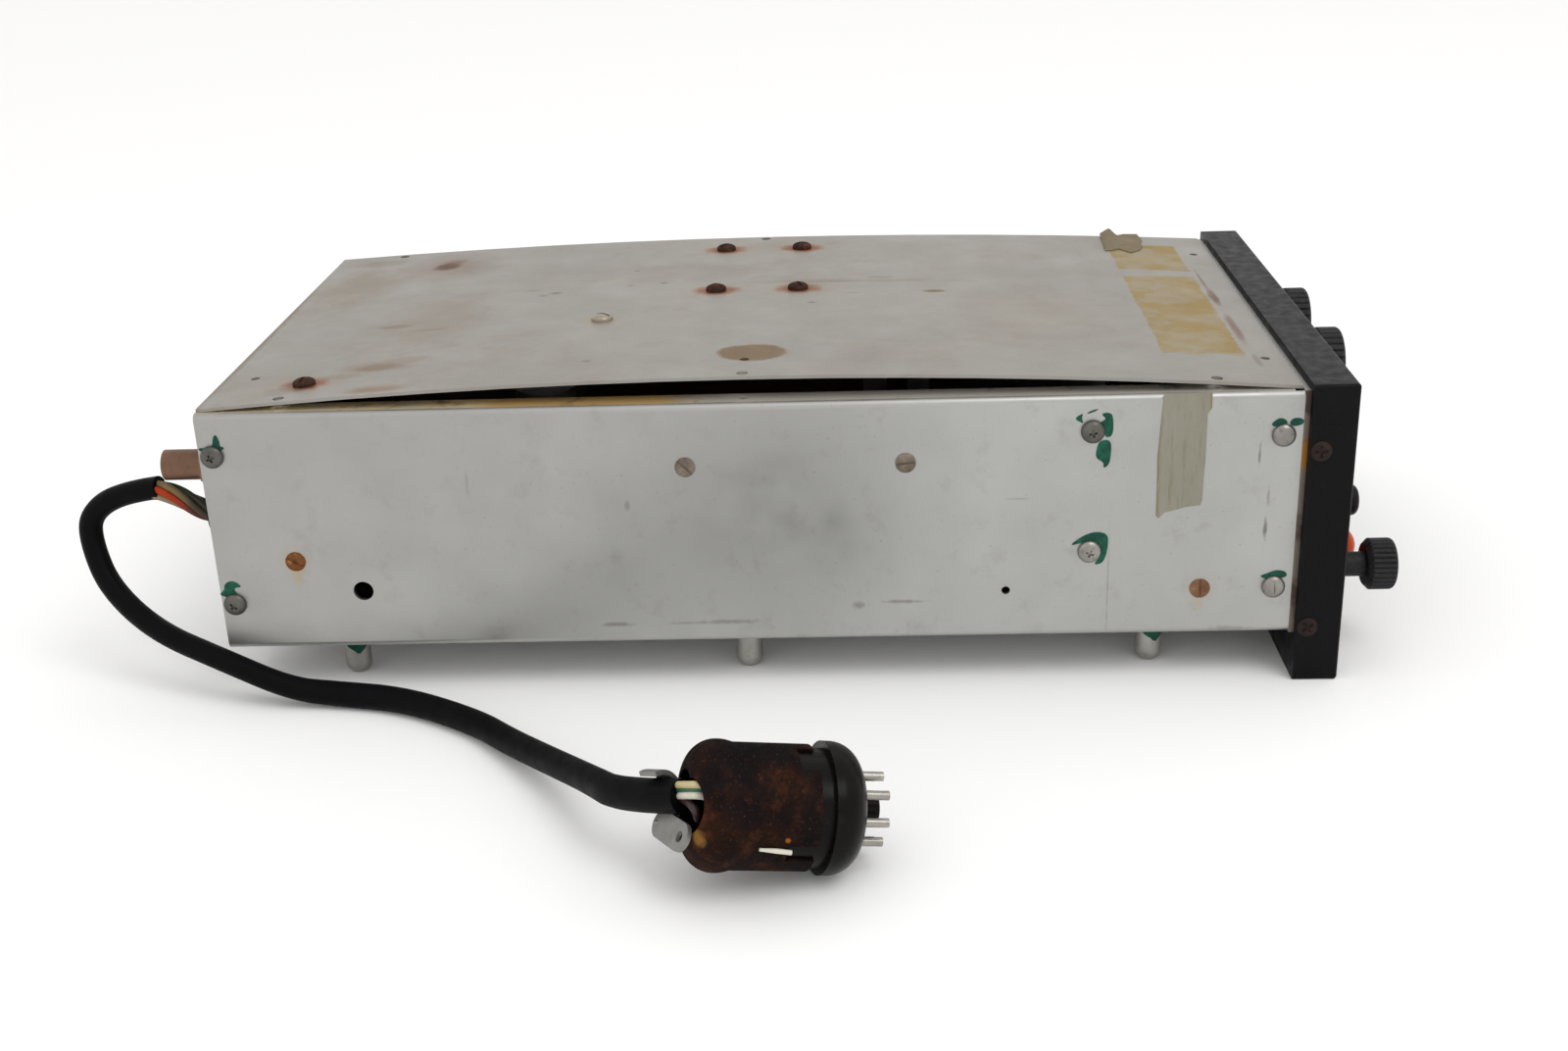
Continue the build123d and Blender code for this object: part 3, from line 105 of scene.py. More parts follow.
class Look:
    """One material, whose colour is built up layer by layer."""

    def __init__(self, name, colour, rough=0.5, metal=0.0):
        self.mat = bpy.data.materials.new(name)
        self.mat.use_nodes = True
        self.tree = self.mat.node_tree
        self.shader = self.tree.nodes["Principled BSDF"]
        self.place = self.tree.nodes.new("ShaderNodeTexCoord").outputs["Object"]
        self.colour = colour
        self.put("Metallic", metal)
        self.put("Roughness", rough)

    def feed(self, socket, value):
        if isinstance(value, bpy.types.NodeSocket):
            self.tree.links.new(value, socket)
        else:
            socket.default_value = value

    def put(self, name, value):
        self.feed(self.shader.inputs[name], value)

    def node(self, kind, inputs, out=0, **settings):
        made = self.tree.nodes.new(kind)
        for key, value in settings.items():
            setattr(made, key, value)
        for key, value in inputs.items():
            self.feed(made.inputs[key], value)
        return made.outputs[out]

    def calc(self, operation, first, second):
        return self.node("ShaderNodeMath", {0: first, 1: second}, operation=operation)

    def vector(self, operation, *values, out=0):
        return self.node("ShaderNodeVectorMath", dict(enumerate(values)), out, operation=operation)

    def noise(self, scale, detail=4.0, rough=0.55, stretch=(1, 1, 1), shift=(0, 0, 0)):
        place = self.node("ShaderNodeMapping", {"Vector": self.place, "Scale": stretch, "Location": shift})
        settings = {"Vector": place, "Scale": scale, "Detail": detail, "Roughness": rough}
        return self.node("ShaderNodeTexNoise", settings)

    def span(self, value, low, high, start=0.0, end=1.0):
        return self.node("ShaderNodeMapRange", {0: value, 1: low, 2: high, 3: start, 4: end})

    def over(self, amount, colour):
        layers = {0: amount, 6: as_input(self.colour), 7: as_input(colour)}
        self.colour = self.node("ShaderNodeMix", layers, 2, data_type="RGBA")

    def stain(self, mask, amount, colour):
        self.over(self.calc("MULTIPLY", mask, amount), colour)

    def mottle(self, colour, most, band, scale, *grain, **turned):
        self.over(self.span(self.noise(scale, *grain, **turned), *band, 0.0, most), colour)

    def area(self, centre, half, soft=0.2, wobble=0.3, grain=400.0, square=False):
        """A mask round centre; a half size of 0 leaves that axis out."""
        away = self.vector("SUBTRACT", self.place, mm(*centre))
        away = self.vector("MULTIPLY", away, [1000 / size if size else 0 for size in half])
        if square:
            x, y, z = self.node("ShaderNodeSeparateXYZ", {0: self.vector("ABSOLUTE", away)}).node.outputs
            reach = self.calc("MAXIMUM", self.calc("MAXIMUM", x, y), z)
        else:
            reach = self.vector("LENGTH", away, out=1)
        if wobble:
            uneven = self.calc("SUBTRACT", self.noise(grain, 5.0, 0.65), 0.5)
            reach = self.calc("ADD", reach, self.calc("MULTIPLY", uneven, wobble * 2))
        return self.span(reach, 1 - soft, 1 + soft, 1.0, 0.0)

    def bump(self, height, strength, depth):
        settings = {"Height": height, "Strength": strength, "Distance": depth / 1000}
        self.put("Normal", self.node("ShaderNodeBump", settings))

    def done(self):
        self.put("Base Color", as_input(self.colour))
        return self.mat


def aluminium(name, colour, rough=0.42, metal=0.55):
    look = Look(name, colour, rough, metal)
    look.mottle([part * 0.72 for part in colour], 0.4, (0.35, 0.75), 14, 6, 0.6)
    look.mottle((0.20, 0.18, 0.15), 0.35, (0.55, 0.8), 90, 6, 0.7, shift=(3, 1, 2))
    look.mottle((0.13, 0.12, 0.10), 0.5, (0.66, 0.74), 900, 3, 0.6)
    look.put("Roughness", look.span(look.noise(60, 5), 0.3, 0.75, rough - 0.06, rough + 0.14))
    look.bump(look.noise(420, 4, 0.6, stretch=(1, 0.06, 1)), 0.12, 0.15)
    return look


def plain(name, colour, rough, metal=0.0, spread=0.6, grain=300.0, relief=0.06, wear=None, shine=0.5):
    """An even finish: spread darkens its patches, and wear is a colour and how much of it shows."""
    look = Look(name, colour, rough, metal)
    look.put("Specular IOR Level", shine)
    look.mottle([part * spread for part in colour], 0.75, (0.35, 0.7), grain / 6, 5)
    if wear:
        look.mottle(wear[0], wear[1], (0.56, 0.72), grain, 6, 0.7)
    look.put("Roughness", look.span(look.noise(grain / 2, 4), 0.3, 0.7, max(rough - 0.08, 0.03), rough + 0.1))
    look.bump(look.noise(grain * 2, 4, 0.6), relief * 4, relief)
    return look


def rusty(name, colour, orange, dark, share=0.5, grain=260.0, shine=0.15):
    look = Look(name, colour, 0.85, 0.1)
    look.put("Specular IOR Level", shine)
    look.mottle(dark, 1.0, (0.38, 0.66), grain / 3, 6, 0.65)
    look.mottle(orange, 0.9, (0.6 - share * 0.1, 0.72), grain, 6, 0.7, shift=(1, 4, 2))
    look.put("Roughness", look.span(look.noise(grain, 5), 0.3, 0.7, 0.6, 0.95))
    look.bump(look.noise(grain * 3, 6, 0.7), 0.55, 0.25)
    return look


looks = {}


def dress(names, label, colour, rough, **finish):
    for node in names.split():
        looks[node] = plain(label.format(node), colour, rough, **finish)


# Sheet metal of the case
wall = looks["chassis"] = aluminium("aluminium_wall", (0.425, 0.425, 0.41), 0.4, 0.9)
cover = looks["top_cover"] = aluminium("aluminium_cover", (0.305, 0.29, 0.266), 0.5, 0.45)
for node in ("front_plate", "rear_panel", "partition", "board_rails"):
    looks[node] = aluminium("aluminium_" + node, (0.46, 0.46, 0.44))

# Black paint, rubber and moulded pieces
dress("bezel", "bezel_paint", (0.0035, 0.003, 0.0038), 0.42, grain=500, relief=0.05,
      wear=((0.03, 0.027, 0.026), 0.15), shine=0.1)
dress("control_panel", "panel_paint", (0.018, 0.018, 0.019), 0.55, spread=0.8, grain=900, relief=0.03,
      wear=((0.06, 0.06, 0.06), 0.2), shine=0.25)
dress("tuning_knob volume_knob selector_knob", "knob_{}", (0.020, 0.019, 0.021), 0.55, metal=0.1, spread=0.55,
      grain=900, relief=0.12, wear=((0.12, 0.115, 0.115), 0.45), shine=0.2)
dress("test_button", "button_plastic", (0.009, 0.006, 0.007), 0.4, spread=0.7, grain=700, relief=0.05,
      shine=0.12)
dress("grommet", "rubber", (0.012, 0.0115, 0.011), 0.75, spread=0.7, grain=600, relief=0.08, shine=0.2)
dress("cable_sleeve wire_bundle", "sleeve_{}", (0.0025, 0.0023, 0.003), 0.5, grain=400, relief=0.05,
      shine=0.06)
dress("plug_base", "bakelite", (0.004, 0.0033, 0.003), 0.28, grain=200, relief=0.03,
      wear=((0.016, 0.011, 0.008), 0.5), shine=0.1)

# Plated, bare and rusty metal
dress("side_screws foot_screws cover_nuts control_nuts", "steel_{}", (0.42, 0.40, 0.37), 0.3, metal=0.9,
      spread=0.45, grain=700, relief=0.04, wear=((0.12, 0.08, 0.05), 0.6))
dress("feet", "steel_feet", (0.40, 0.39, 0.36), 0.42, metal=0.75, relief=0.05, wear=((0.16, 0.12, 0.08), 0.5))
dress("antenna_jack", "jack_metal", (0.21, 0.115, 0.072), 0.45, metal=0.7, spread=0.5, grain=500, relief=0.05,
      wear=((0.10, 0.07, 0.05), 0.8))
dress("jack_nut", "jack_nut_metal", (0.22, 0.14, 0.09), 0.45, metal=0.8, spread=0.5, grain=500, relief=0.05,
      wear=((0.08, 0.06, 0.05), 0.8))
dress("plug_pins", "pin_metal", (0.44, 0.42, 0.38), 0.28, metal=0.9, spread=0.5, grain=600, relief=0.03,
      wear=((0.16, 0.13, 0.10), 0.6))
dress("plug_clamp", "zinc", (0.27, 0.26, 0.245), 0.45, metal=0.6, spread=0.55, grain=350, relief=0.08,
      wear=((0.14, 0.12, 0.10), 0.5))
looks["cover_screws"] = rusty(
    "rust_screws", (0.05, 0.021, 0.013), (0.19, 0.06, 0.02), (0.022, 0.012, 0.009)
)
looks["side_flush_screws"] = rusty(
    "rust_flush", (0.22, 0.09, 0.035), (0.42, 0.17, 0.06), (0.09, 0.04, 0.02), 0.8
)
looks["bezel_screws"] = rusty(
    "rust_bezel", (0.034, 0.020, 0.016), (0.065, 0.034, 0.025), (0.013, 0.010, 0.0095)
)
cap = looks["plug_cap"] = rusty(
    "rust_cap", (0.022, 0.0085, 0.0045), (0.075, 0.022, 0.008), (0.005, 0.004, 0.005), 0.9, 170, 0.05
)
cap.mottle((0.0045, 0.004, 0.0052), 0.85, (0.44, 0.6), 55, 4, 0.6, shift=(2, 7, 4))
cap.mottle((0.12, 0.075, 0.05), 0.4, (0.62, 0.74), 1500, 3, 0.6, shift=(5, 1, 3))
CAP_SPOTS = [
    ((-210.0, 16.4, 21.4), 2.0, (0.20, 0.10, 0.025)), ((-207.3, -5.0, 18.7), 0.6, (0.27, 0.085, 0.015)),
]
for spot, reach, colour in CAP_SPOTS:
    cap.over(cap.area(spot, (reach, reach, reach), 0.4, 0.6, 700), colour)

# Pieces inside the case and behind the dial
dress("tuning_shaft volume_shaft selector_shaft idler_studs dial_spacers", "shaft_{}", (0.5, 0.48, 0.44), 0.3,
      metal=0.9, spread=0.7)
dress("tuning_bushing dial_drum idler_top idler_bottom lamp_holder", "brass_{}", (0.46, 0.31, 0.13), 0.35,
      metal=0.9, spread=0.65)
dress("capacitor_frame capacitor_rotor capacitor_stator if_cans filter_capacitors crystals", "can_{}",
      (0.52, 0.52, 0.50), 0.35, metal=0.85, spread=0.75)
dress("volume_pot button_switch", "control_{}", (0.30, 0.29, 0.27), 0.4, metal=0.7, spread=0.7)
dress("output_transformer", "core_iron", (0.07, 0.065, 0.06), 0.5, metal=0.6)
dress("transformer_winding", "winding_paper", (0.32, 0.20, 0.07), 0.6, spread=0.7)
dress("terminal_strips selector_switch", "phenolic_{}", (0.16, 0.085, 0.035), 0.55, spread=0.7)
dress("circuit_board", "board", (0.16, 0.10, 0.035), 0.5, spread=0.7)
dress("jack_insulator", "white_insulator", (0.72, 0.69, 0.60), 0.45, spread=0.85)
dress("dial_cord", "cord_fibre", (0.35, 0.31, 0.22), 0.8, spread=0.7, grain=1500)
dress("dial_plate", "dial_card", (0.62, 0.57, 0.42), 0.6, spread=0.88, grain=120, relief=0.02)
dress("dial_pointer", "pointer_red", (0.42, 0.02, 0.012), 0.4, spread=0.8)
dress("lamp_bulb", "bulb_glass", (0.75, 0.70, 0.58), 0.1, spread=0.9)
dress("lamp_jewel", "amber_jewel", (0.58, 0.06, 0.001), 0.2, spread=0.7, grain=150, relief=0.02, shine=0.1)
dress("dial_lens", "clear_lens", (0.86, 0.88, 0.86), 0.06, spread=0.92, grain=100, relief=0.01)
for node, clear, bend in (("lamp_jewel", 0.1, 1.5), ("dial_lens", 1.0, 1.45)):
    looks[node].put("Transmission Weight", clear)
    looks[node].put("IOR", bend)


# Marks on the cover: x, along, half width, half length, strength and colour of each
def mark_cover(marks, soft, wobble, grain=400.0):
    for x, along, wide, long, amount, colour in marks:
        cover.stain(cover.area(on_top(x, along), (wide, long, 0), soft, wobble, grain), amount, colour)


for screw in RUSTY_SCREWS:
    mark_cover([(*screw, 8, 10, 0.3, (0.30, 0.20, 0.11))], 0.6, 0.5, 160)
    mark_cover([(*screw, 5.2, 6.8, 0.95, (0.21, 0.06, 0.01))], 0.3, 0.4, 300)
GUM_OVAL = (-63, 157, 8.4, 10.2, 0.9, (0.15, 0.085, 0.025))
RUST_CLOUD = (62, 272, 13, 12, 0.55, (0.19, 0.11, 0.06))
mark_cover([(*BRIGHT_SCREW, 4.6, 5, 0.6, (0.34, 0.25, 0.13))], 0.4, 0.3)
mark_cover([GUM_OVAL], 0.08, 0.22, 160)
mark_cover([RUST_CLOUD], 0.8, 0.9, 110)
BROWN_STAINS = [
    (64, 273, 4, 3.5, 0.85, (0.17, 0.06, 0.025)), (74, 300, 5, 9, 0.4, (0.16, 0.14, 0.09)),
    (25, 9.4, 12, 0.5, 0.7, (0.15, 0.10, 0.06)), (6, 9.1, 9, 1.3, 0.8, (0.15, 0.095, 0.05)),
    (-31, 9.0, 15.5, 1.4, 0.6, (0.19, 0.11, 0.075)), (-64.5, 8.8, 5.5, 1.0, 0.45, (0.17, 0.10, 0.07)),
    (-81.5, 265, 3.5, 9, 0.5, (0.24, 0.16, 0.09)), (-59, 270, 5, 11, 0.45, (0.22, 0.15, 0.09)),
    (-53.5, 262, 3.5, 8, 0.4, (0.21, 0.15, 0.10)), (-66.5, 280, 2.5, 9, 0.4, (0.20, 0.15, 0.10)),
    (-76.5, 294, 4, 5, 0.4, (0.17, 0.15, 0.13)), (20, 128, 2.5, 30, 0.35, (0.21, 0.16, 0.11)),
    (-10, 262, 30, 14, 0.3, (0.22, 0.16, 0.10)), (40, 300, 26, 12, 0.35, (0.21, 0.15, 0.09)),
    (36, 190, 12, 26, 0.25, (0.20, 0.15, 0.10)), (-20, 70, 30, 22, 0.25, (0.26, 0.20, 0.14)),
]
mark_cover(BROWN_STAINS, 0.35, 0.7, 150)

# Old adhesive in two strips near the bezel, then dirt over the whole cover
STRIP_ALONG, STRIP_HALF = 23.5, 12
for x, wide in ((-15.5, 45), (55.5, 17.5)):
    strip = cover.area(on_top(x, STRIP_ALONG), (wide, STRIP_HALF, 0), 0.03, 0.13, 170, True)
    worn = cover.span(cover.noise(150, 5, 0.65, shift=(2, 0, 1)), 0.4, 0.6, 0.95, 0.55)
    cover.stain(strip, worn, (0.28, 0.205, 0.075))
    ragged = cover.noise(75, 5, 0.6, stretch=(1, 0.65, 1), shift=(0, 0.02, 0))
    cover.stain(strip, cover.span(ragged, 0.46, 0.54, 0.0, 0.8), (0.27, 0.175, 0.03))
cover.mottle((0.25, 0.20, 0.14), 0.5, (0.52, 0.74), 26, 6, 0.7)

# Sharper rust and dark chips that lie over the dirt
RUST_STAINS = [
    (62.8, 273.2, 4.5, 4.2, 0.9, (0.085, 0.03, 0.014)), (68.8, 271.5, 3.5, 4, 0.5, (0.12, 0.05, 0.025)),
    (-59.8, 269.9, 3.5, 6.5, 0.5, (0.15, 0.085, 0.045)), (-82.6, 265.4, 2.2, 7, 0.5, (0.19, 0.11, 0.05)),
    (-14.8, 274.3, 2.0, 5, 0.5, (0.16, 0.11, 0.07)), (-21.3, 262.5, 1.4, 5.5, 0.4, (0.18, 0.135, 0.085)),
    (5.9, 100.3, 1.7, 3.4, 0.95, (0.17, 0.105, 0.03)), (3.0, 8.8, 7.5, 0.9, 0.6, (0.12, 0.075, 0.04)),
    (-30, 8.9, 12, 0.9, 0.45, (0.13, 0.075, 0.05)), (-20, 317.2, 70, 1.8, 0.6, (0.17, 0.115, 0.065)),
]
CHIPS = [
    (15.6, 226.8, 1.3, 1.8, 0.6), (13.1, 230.7, 1.0, 1.4, 0.5), (20.3, 235.1, 0.8, 2.2, 0.45),
    (22.8, 190.8, 0.9, 1.3, 0.7), (21.1, 202.0, 0.8, 1.2, 0.5), (41.4, 202.0, 0.8, 0.9, 0.6),
    (-66.4, 205.8, 1.0, 1.3, 0.45), (19.4, 132.0, 0.4, 9.0, 0.5), (24.0, 118.0, 0.5, 4.5, 0.5),
    (3.9, 127.0, 0.5, 2.4, 0.45), (-7.3, 140.2, 0.8, 1.4, 0.6),
]
CHIP_COLOUR = (0.10, 0.085, 0.075)
mark_cover(RUST_STAINS, 0.35, 0.4, 260)
mark_cover([(*chip, CHIP_COLOUR) for chip in CHIPS], 0.5, 0.0)

# Near wall: painted shade on the rear end, standing in for the darker reflection there, then rust
# that bleeds from two screws, and scuffs, each given by along, up, half length, half height and strength
# painted shade: the upper rear of the wall is darkened in place of a dimmer reflection there
wall.stain(wall.area(on_wall(330, 75), (0, 150, 60), 0.6, 0.0), 0.45, (0.30, 0.293, 0.28))
DRIP_DROP = 4.6
for (along, up), halo, trail in ((ORANGE_SCREW, 0.25, 0.45), (RED_SCREW, 0.12, 0.25)):
    wall.stain(wall.area(on_wall(along, up), (1, 4.2, 4.2), 0.4, 0.4, 300), halo, (0.42, 0.27, 0.13))
    drip = wall.area(on_wall(along, up - DRIP_DROP), (1, 1.2, 2.4), 0.7, 0.5, 300)
    wall.stain(drip, trail, (0.44, 0.32, 0.13))
SCUFFS = [
    (53.6, 17, 0.22, 16, 0.3), (199, 6.1, 4, 0.6, 0.5), (166, 6.4, 8, 0.6, 0.4), (178, 6.2, 4, 0.4, 0.3),
    (127, 11.1, 1.6, 1.1, 0.45), (113, 12.0, 5, 0.5, 0.5), (17.4, 1.6, 4.6, 0.7, 0.3),
    (8.8, 33.5, 0.5, 2.8, 0.75), (11.8, 56, 0.3, 3, 0.6), (8.5, 43, 0.4, 2.6, 0.4),
    (193.6, 44.2, 0.7, 1.2, 0.4), (240, 52, 0.4, 4, 0.2), (80, 44, 3, 0.3, 0.3),
]
for along, up, long, tall, amount in SCUFFS:
    wall.stain(wall.area(on_wall(along, up), (1, long, tall), 0.5, 1.2, 350), amount, (0.12, 0.11, 0.11))

# The top flange under the cover keeps old varnish and dirt; the varnish tan is painted lighter than its own
# colour, as painted light that makes up for the shade under the cover
ledge = wall.area((0, MIDDLE, WALL_TOP), (87.3, 180, 0.9), 0.004, 0.0, square=True)
wall.put("Metallic", wall.span(ledge, 0.0, 1.0, 0.9, 0.05))
# varnish tan, partly real colour and partly painted light lifting the flange out of the cover's shade
wall.stain(ledge, wall.span(wall.noise(40, 6, 0.7), 0.35, 0.65, 0.5, 1.0), (0.62, 0.47, 0.22))
for along, long, colour in ((205, 30, (0.46, 0.27, 0.08)), (82, 92, (0.40, 0.39, 0.37))):
    patch = wall.area((0, WALL_FRONT + along, WALL_TOP), (0, long, 0), 0.12, 0.25, 60, True)
    wall.stain(wall.calc("MULTIPLY", ledge, patch), 0.8, colour)
grimy = wall.span(wall.noise(75, 6, 0.7, shift=(4, 2, 0)), 0.56, 0.7, 0.0, 0.8)
wall.stain(ledge, grimy, (0.09, 0.065, 0.04))

# The edge of the front plate shows beside the bezel, brown and dirty
plate = looks["front_plate"]
inside = plate.area((0, WALL_FRONT, 50), (HALF_BODY - 1, 60, 60), 0.004, 0.0, square=True)
edge = plate.calc("SUBTRACT", 1.0, inside)
plate.over(edge, (0.15, 0.125, 0.10))
plate.stain(edge, plate.span(plate.noise(120, 5), 0.5, 0.62, 0.0, 0.85), (0.05, 0.03, 0.022))
plate.over(plate.area((-HALF_BODY, WALL_FRONT, 70.4), (4, 9, 4.4), 0.3, 0.4, 300), (0.26, 0.12, 0.02))

for node, item in nodes.items():
    finish = looks[node].done()
    if not item.material_slots:
        item.data.materials.append(finish)
    for holder in item.material_slots:
        holder.material = finish

# Mesh tools
HERE = Matrix.Identity(4)


def piece(name, mesh, finishes, angle=40):
    mesh.shade_smooth()
    mesh.set_sharp_from_angle(angle=math.radians(angle))
    made = bpy.data.objects.new(name, mesh)
    scene.collection.objects.link(made)
    for finish in finishes:
        mesh.materials.append(finish)
    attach(made, "case")
    return made


def mesh_from(verts, faces, name):
    mesh = bpy.data.meshes.new(name)
    mesh.from_pydata([tuple(vert) for vert in verts], [], faces)
    mesh.update()
    return mesh


def join(parts, name):
    """One mesh of parts, each a mesh, its place and the number of its finish."""
    whole = bmesh.new()
    for mesh, place, finish in parts:
        before = len(whole.faces)
        copy = mesh.copy()
        copy.transform(place)
        whole.from_mesh(copy)
        bpy.data.meshes.remove(copy)
        whole.faces.ensure_lookup_table()
        for face in whole.faces[before:]:
            face.material_index = finish
    made = bpy.data.meshes.new(name)
    whole.to_mesh(made)
    whole.free()
    return made


def mesh_of(curve):
    holder = bpy.data.objects.new("curve_holder", curve)
    mesh = bpy.data.meshes.new_from_object(holder)
    bpy.data.objects.remove(holder)
    return mesh


def nurbs(points, name, steps=12, closed=False):
    curve = bpy.data.curves.new(name, "CURVE")
    curve.dimensions = "3D"
    curve.resolution_u = steps
    spline = curve.splines.new("NURBS")
    spline.points.add(len(points) - 1)
    for spot, point in zip(spline.points, points):
        spot.co = (*point, 1)
    spline.use_cyclic_u = closed
    spline.order_u = 3
    spline.use_endpoint_u = not closed
    return curve


def line_points(curve):
    mesh = mesh_of(curve)
    points = [vert.co.copy() for vert in mesh.vertices]
    bpy.data.meshes.remove(mesh)
    return points


def frames(points):
    """Each point with two directions across the line, carried along without twist."""
    made = []
    side = None
    for number, point in enumerate(points):
        before, after = points[max(number - 1, 0)], points[min(number + 1, len(points) - 1)]
        way = (after - before).normalized()
        if side is None:
            side = way.orthogonal().normalized()
        side = (side - way * side.dot(way)).normalized()
        made.append((point, side, way.cross(side)))
    return made


def turns(sides):
    return [2 * math.pi * number / sides for number in range(sides)]


def skin(rings, name):
    """A closed mesh through rings of equally many points."""
    sides = len(rings[0])
    last = (len(rings) - 1) * sides
    faces = []
    for low in range(0, last, sides):
        high = low + sides
        for number in range(sides):
            following = (number + 1) % sides
            faces.append((low + number, low + following, high + following, high + number))
    faces += [tuple(reversed(range(sides))), tuple(range(last, last + sides))]
    return mesh_from([vert for ring in rings for vert in ring], faces, name)


def tube(points, radii, sides=12):
    rings = []
    for (point, side, up), radius in zip(frames(points), radii):
        rings.append([
            point + side * radius * math.cos(angle) + up * radius * math.sin(angle) for angle in turns(sides)
        ])
    return skin(rings, "tube")


def lathe(outline, sides=32):
    rings = []
    for radius, height in outline:
        rings.append([
            mm(radius * math.cos(angle), radius * math.sin(angle), height) for angle in turns(sides)
        ])
    return skin(rings, "lathe")


def box_mesh(low, high):
    corners = [mm(x, y, z) for x in (low[0], high[0]) for y in (low[1], high[1]) for z in (low[2], high[2])]
    faces = [(0, 1, 3, 2), (4, 6, 7, 5), (0, 4, 5, 1), (2, 3, 7, 6), (0, 2, 6, 4), (1, 5, 7, 3)]
    return mesh_from(corners, faces, "box")


def carve(mesh, cutters):
    body = bpy.data.objects.new("carved", mesh)
    scene.collection.objects.link(body)
    tools = []
    for cutter in cutters:
        tool = bpy.data.objects.new("cutter", cutter)
        scene.collection.objects.link(tool)
        cut = body.modifiers.new("cut", "BOOLEAN")
        cut.operation = "DIFFERENCE"
        cut.solver = "EXACT"
        cut.object = tool
        tools.append(tool)
    ready = body.evaluated_get(bpy.context.evaluated_depsgraph_get())
    made = bpy.data.meshes.new_from_object(ready)
    for item in tools + [body]:
        bpy.data.objects.remove(item)
    return made


# Lead: the sleeve is one smooth curve along the part's own route
SLEEVE_DIAMETER = 7.0
ROUTE = [
    (-74.6, 186.9, 62.1), (-71.8, 200.5, 59.6), (-70.3, 211.6, 52.2), (-71.7, 212.2, 43.2),
    (-77.5, 206.5, 30.5), (-86.5, 190.5, 19.8), (-95.5, 168.0, 14.2), (-98.5, 148.0, 5.8),
    (-98.5, 134.0, 3.9), (-103.0, 112.0, 3.9), (-118.0, 88.0, 3.9), (-131.3, 76.4, 4.9),
    (-151.9, 60.2, 9.5), (-172.3, 47.0, 15.8), (-187.5, 37.5, 19.9), (-198.7, 20.8, 26.3),
]
THICK_FROM, THICK_SHARE = 8, 1.1
END_FROM, END_SHARE = 14, 1.25
sleeve_curve = nurbs([mm(*spot) for spot in ROUTE], "cable_sleeve_line")
line = line_points(sleeve_curve)
sleeve_length = sum((after - before).length for before, after in zip(line, line[1:]))
for number, spot in enumerate(sleeve_curve.splines[0].points):
    if number >= THICK_FROM:
        spot.radius = THICK_SHARE if number < END_FROM else END_SHARE
sleeve_curve.bevel_depth = SLEEVE_DIAMETER / 2000
sleeve_curve.bevel_resolution = 6
sleeve_curve.use_fill_caps = True
sleeve_curve.materials.append(looks["cable_sleeve"].mat)
sleeve = bpy.data.objects.new("cable_sleeve_tube", sleeve_curve)
scene.collection.objects.link(sleeve)
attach(sleeve, "case")
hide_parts("cable_sleeve")

# Bare wires between the grommet and the sleeve, twisted round the bundle's line
WIRES = [
    ("red", (0.36, 0.035, 0.006)), ("tan", (0.21, 0.145, 0.065)), ("green", (0.035, 0.05, 0.025)),
    ("black", (0.014, 0.013, 0.013)), ("brown", (0.08, 0.04, 0.02)), ("cream", (0.27, 0.22, 0.13)),
]
BUNDLE = [
    (-77.0, 160.1, 55.0), (-77.0, 168.5, 55.0), (-77.0, 173.1, 55.0), (-75.0, 184.5, 61.5),
    (-73.6, 191.5, 61.2),
]
WIRE_RADIUS, WIRE_SPREAD, WIRE_TURNS = 1.1, 2.1, 0.6
GRIME_MIDDLE, GRIME_REACH = (-77.0, 168.0, 56.0), (0, 11.0, 0)
bundle_line = line_points(nurbs([mm(*spot) for spot in BUNDLE], "bundle_line"))
for number, (name, colour) in enumerate(WIRES):
    twisted = []
    for step, (point, side, up) in enumerate(frames(bundle_line)):
        angle = 2 * math.pi * ((number + 1) / len(WIRES) + WIRE_TURNS * step / len(bundle_line))
        twisted.append(point + (side * math.cos(angle) + up * math.sin(angle)) * (WIRE_SPREAD / 1000))
    look = plain("wire_" + name, colour, 0.45, spread=0.75, grain=900, relief=0.02, shine=0.15)
    look.stain(look.area(GRIME_MIDDLE, GRIME_REACH, 0.3, 0.25, 300), 0.85, (0.03, 0.027, 0.02))
    wire = tube(twisted, [WIRE_RADIUS / 1000] * len(twisted), 10)
    piece("bare_wire_" + name, wire, [look.done()])
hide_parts("wire_bundle")

# Wire ends at the plug: name, radius, colour and route of each
PLUG_WIRES = [
    ("cream", 0.95, (0.52, 0.43, 0.22), [
        (-195.2, 26.5, 27.4), (-197.0, 23.3, 28.4), (-200.7, 19.5, 30.6), (-203.6, 15.2, 32.3),
        (-199.3, 10.6, 29.0),
    ]),
    ("green", 0.85, (0.02, 0.11, 0.055), [
        (-195.2, 26.5, 26.2), (-197.0, 23.3, 27.0), (-200.7, 19.6, 29.5), (-203.3, 15.3, 30.9),
        (-198.8, 10.8, 27.3),
    ]),
    ("white", 0.95, (0.62, 0.60, 0.50), [
        (-195.2, 26.6, 24.8), (-197.1, 23.4, 25.4), (-201.7, 19.5, 28.3), (-204.2, 15.3, 29.6),
        (-199.4, 10.8, 25.7),
    ]),
    ("maroon", 1.1, (0.03, 0.009, 0.009), [
        (-197.2, 22.5, 25.6), (-201.0, 19.2, 26.2), (-203.2, 17.2, 25.0), (-203.0, 16.8, 22.4),
        (-200.8, 16.2, 20.6), (-197.5, 12.6, 19.5),
    ]),
]
STUB = [(-209.4, 1.9, 17.6), (-208.6, -1.6, 16.8), (-207.2, -5.6, 15.3)]
STUB_TIP, STUB_GROWTH = 0.4, 0.25
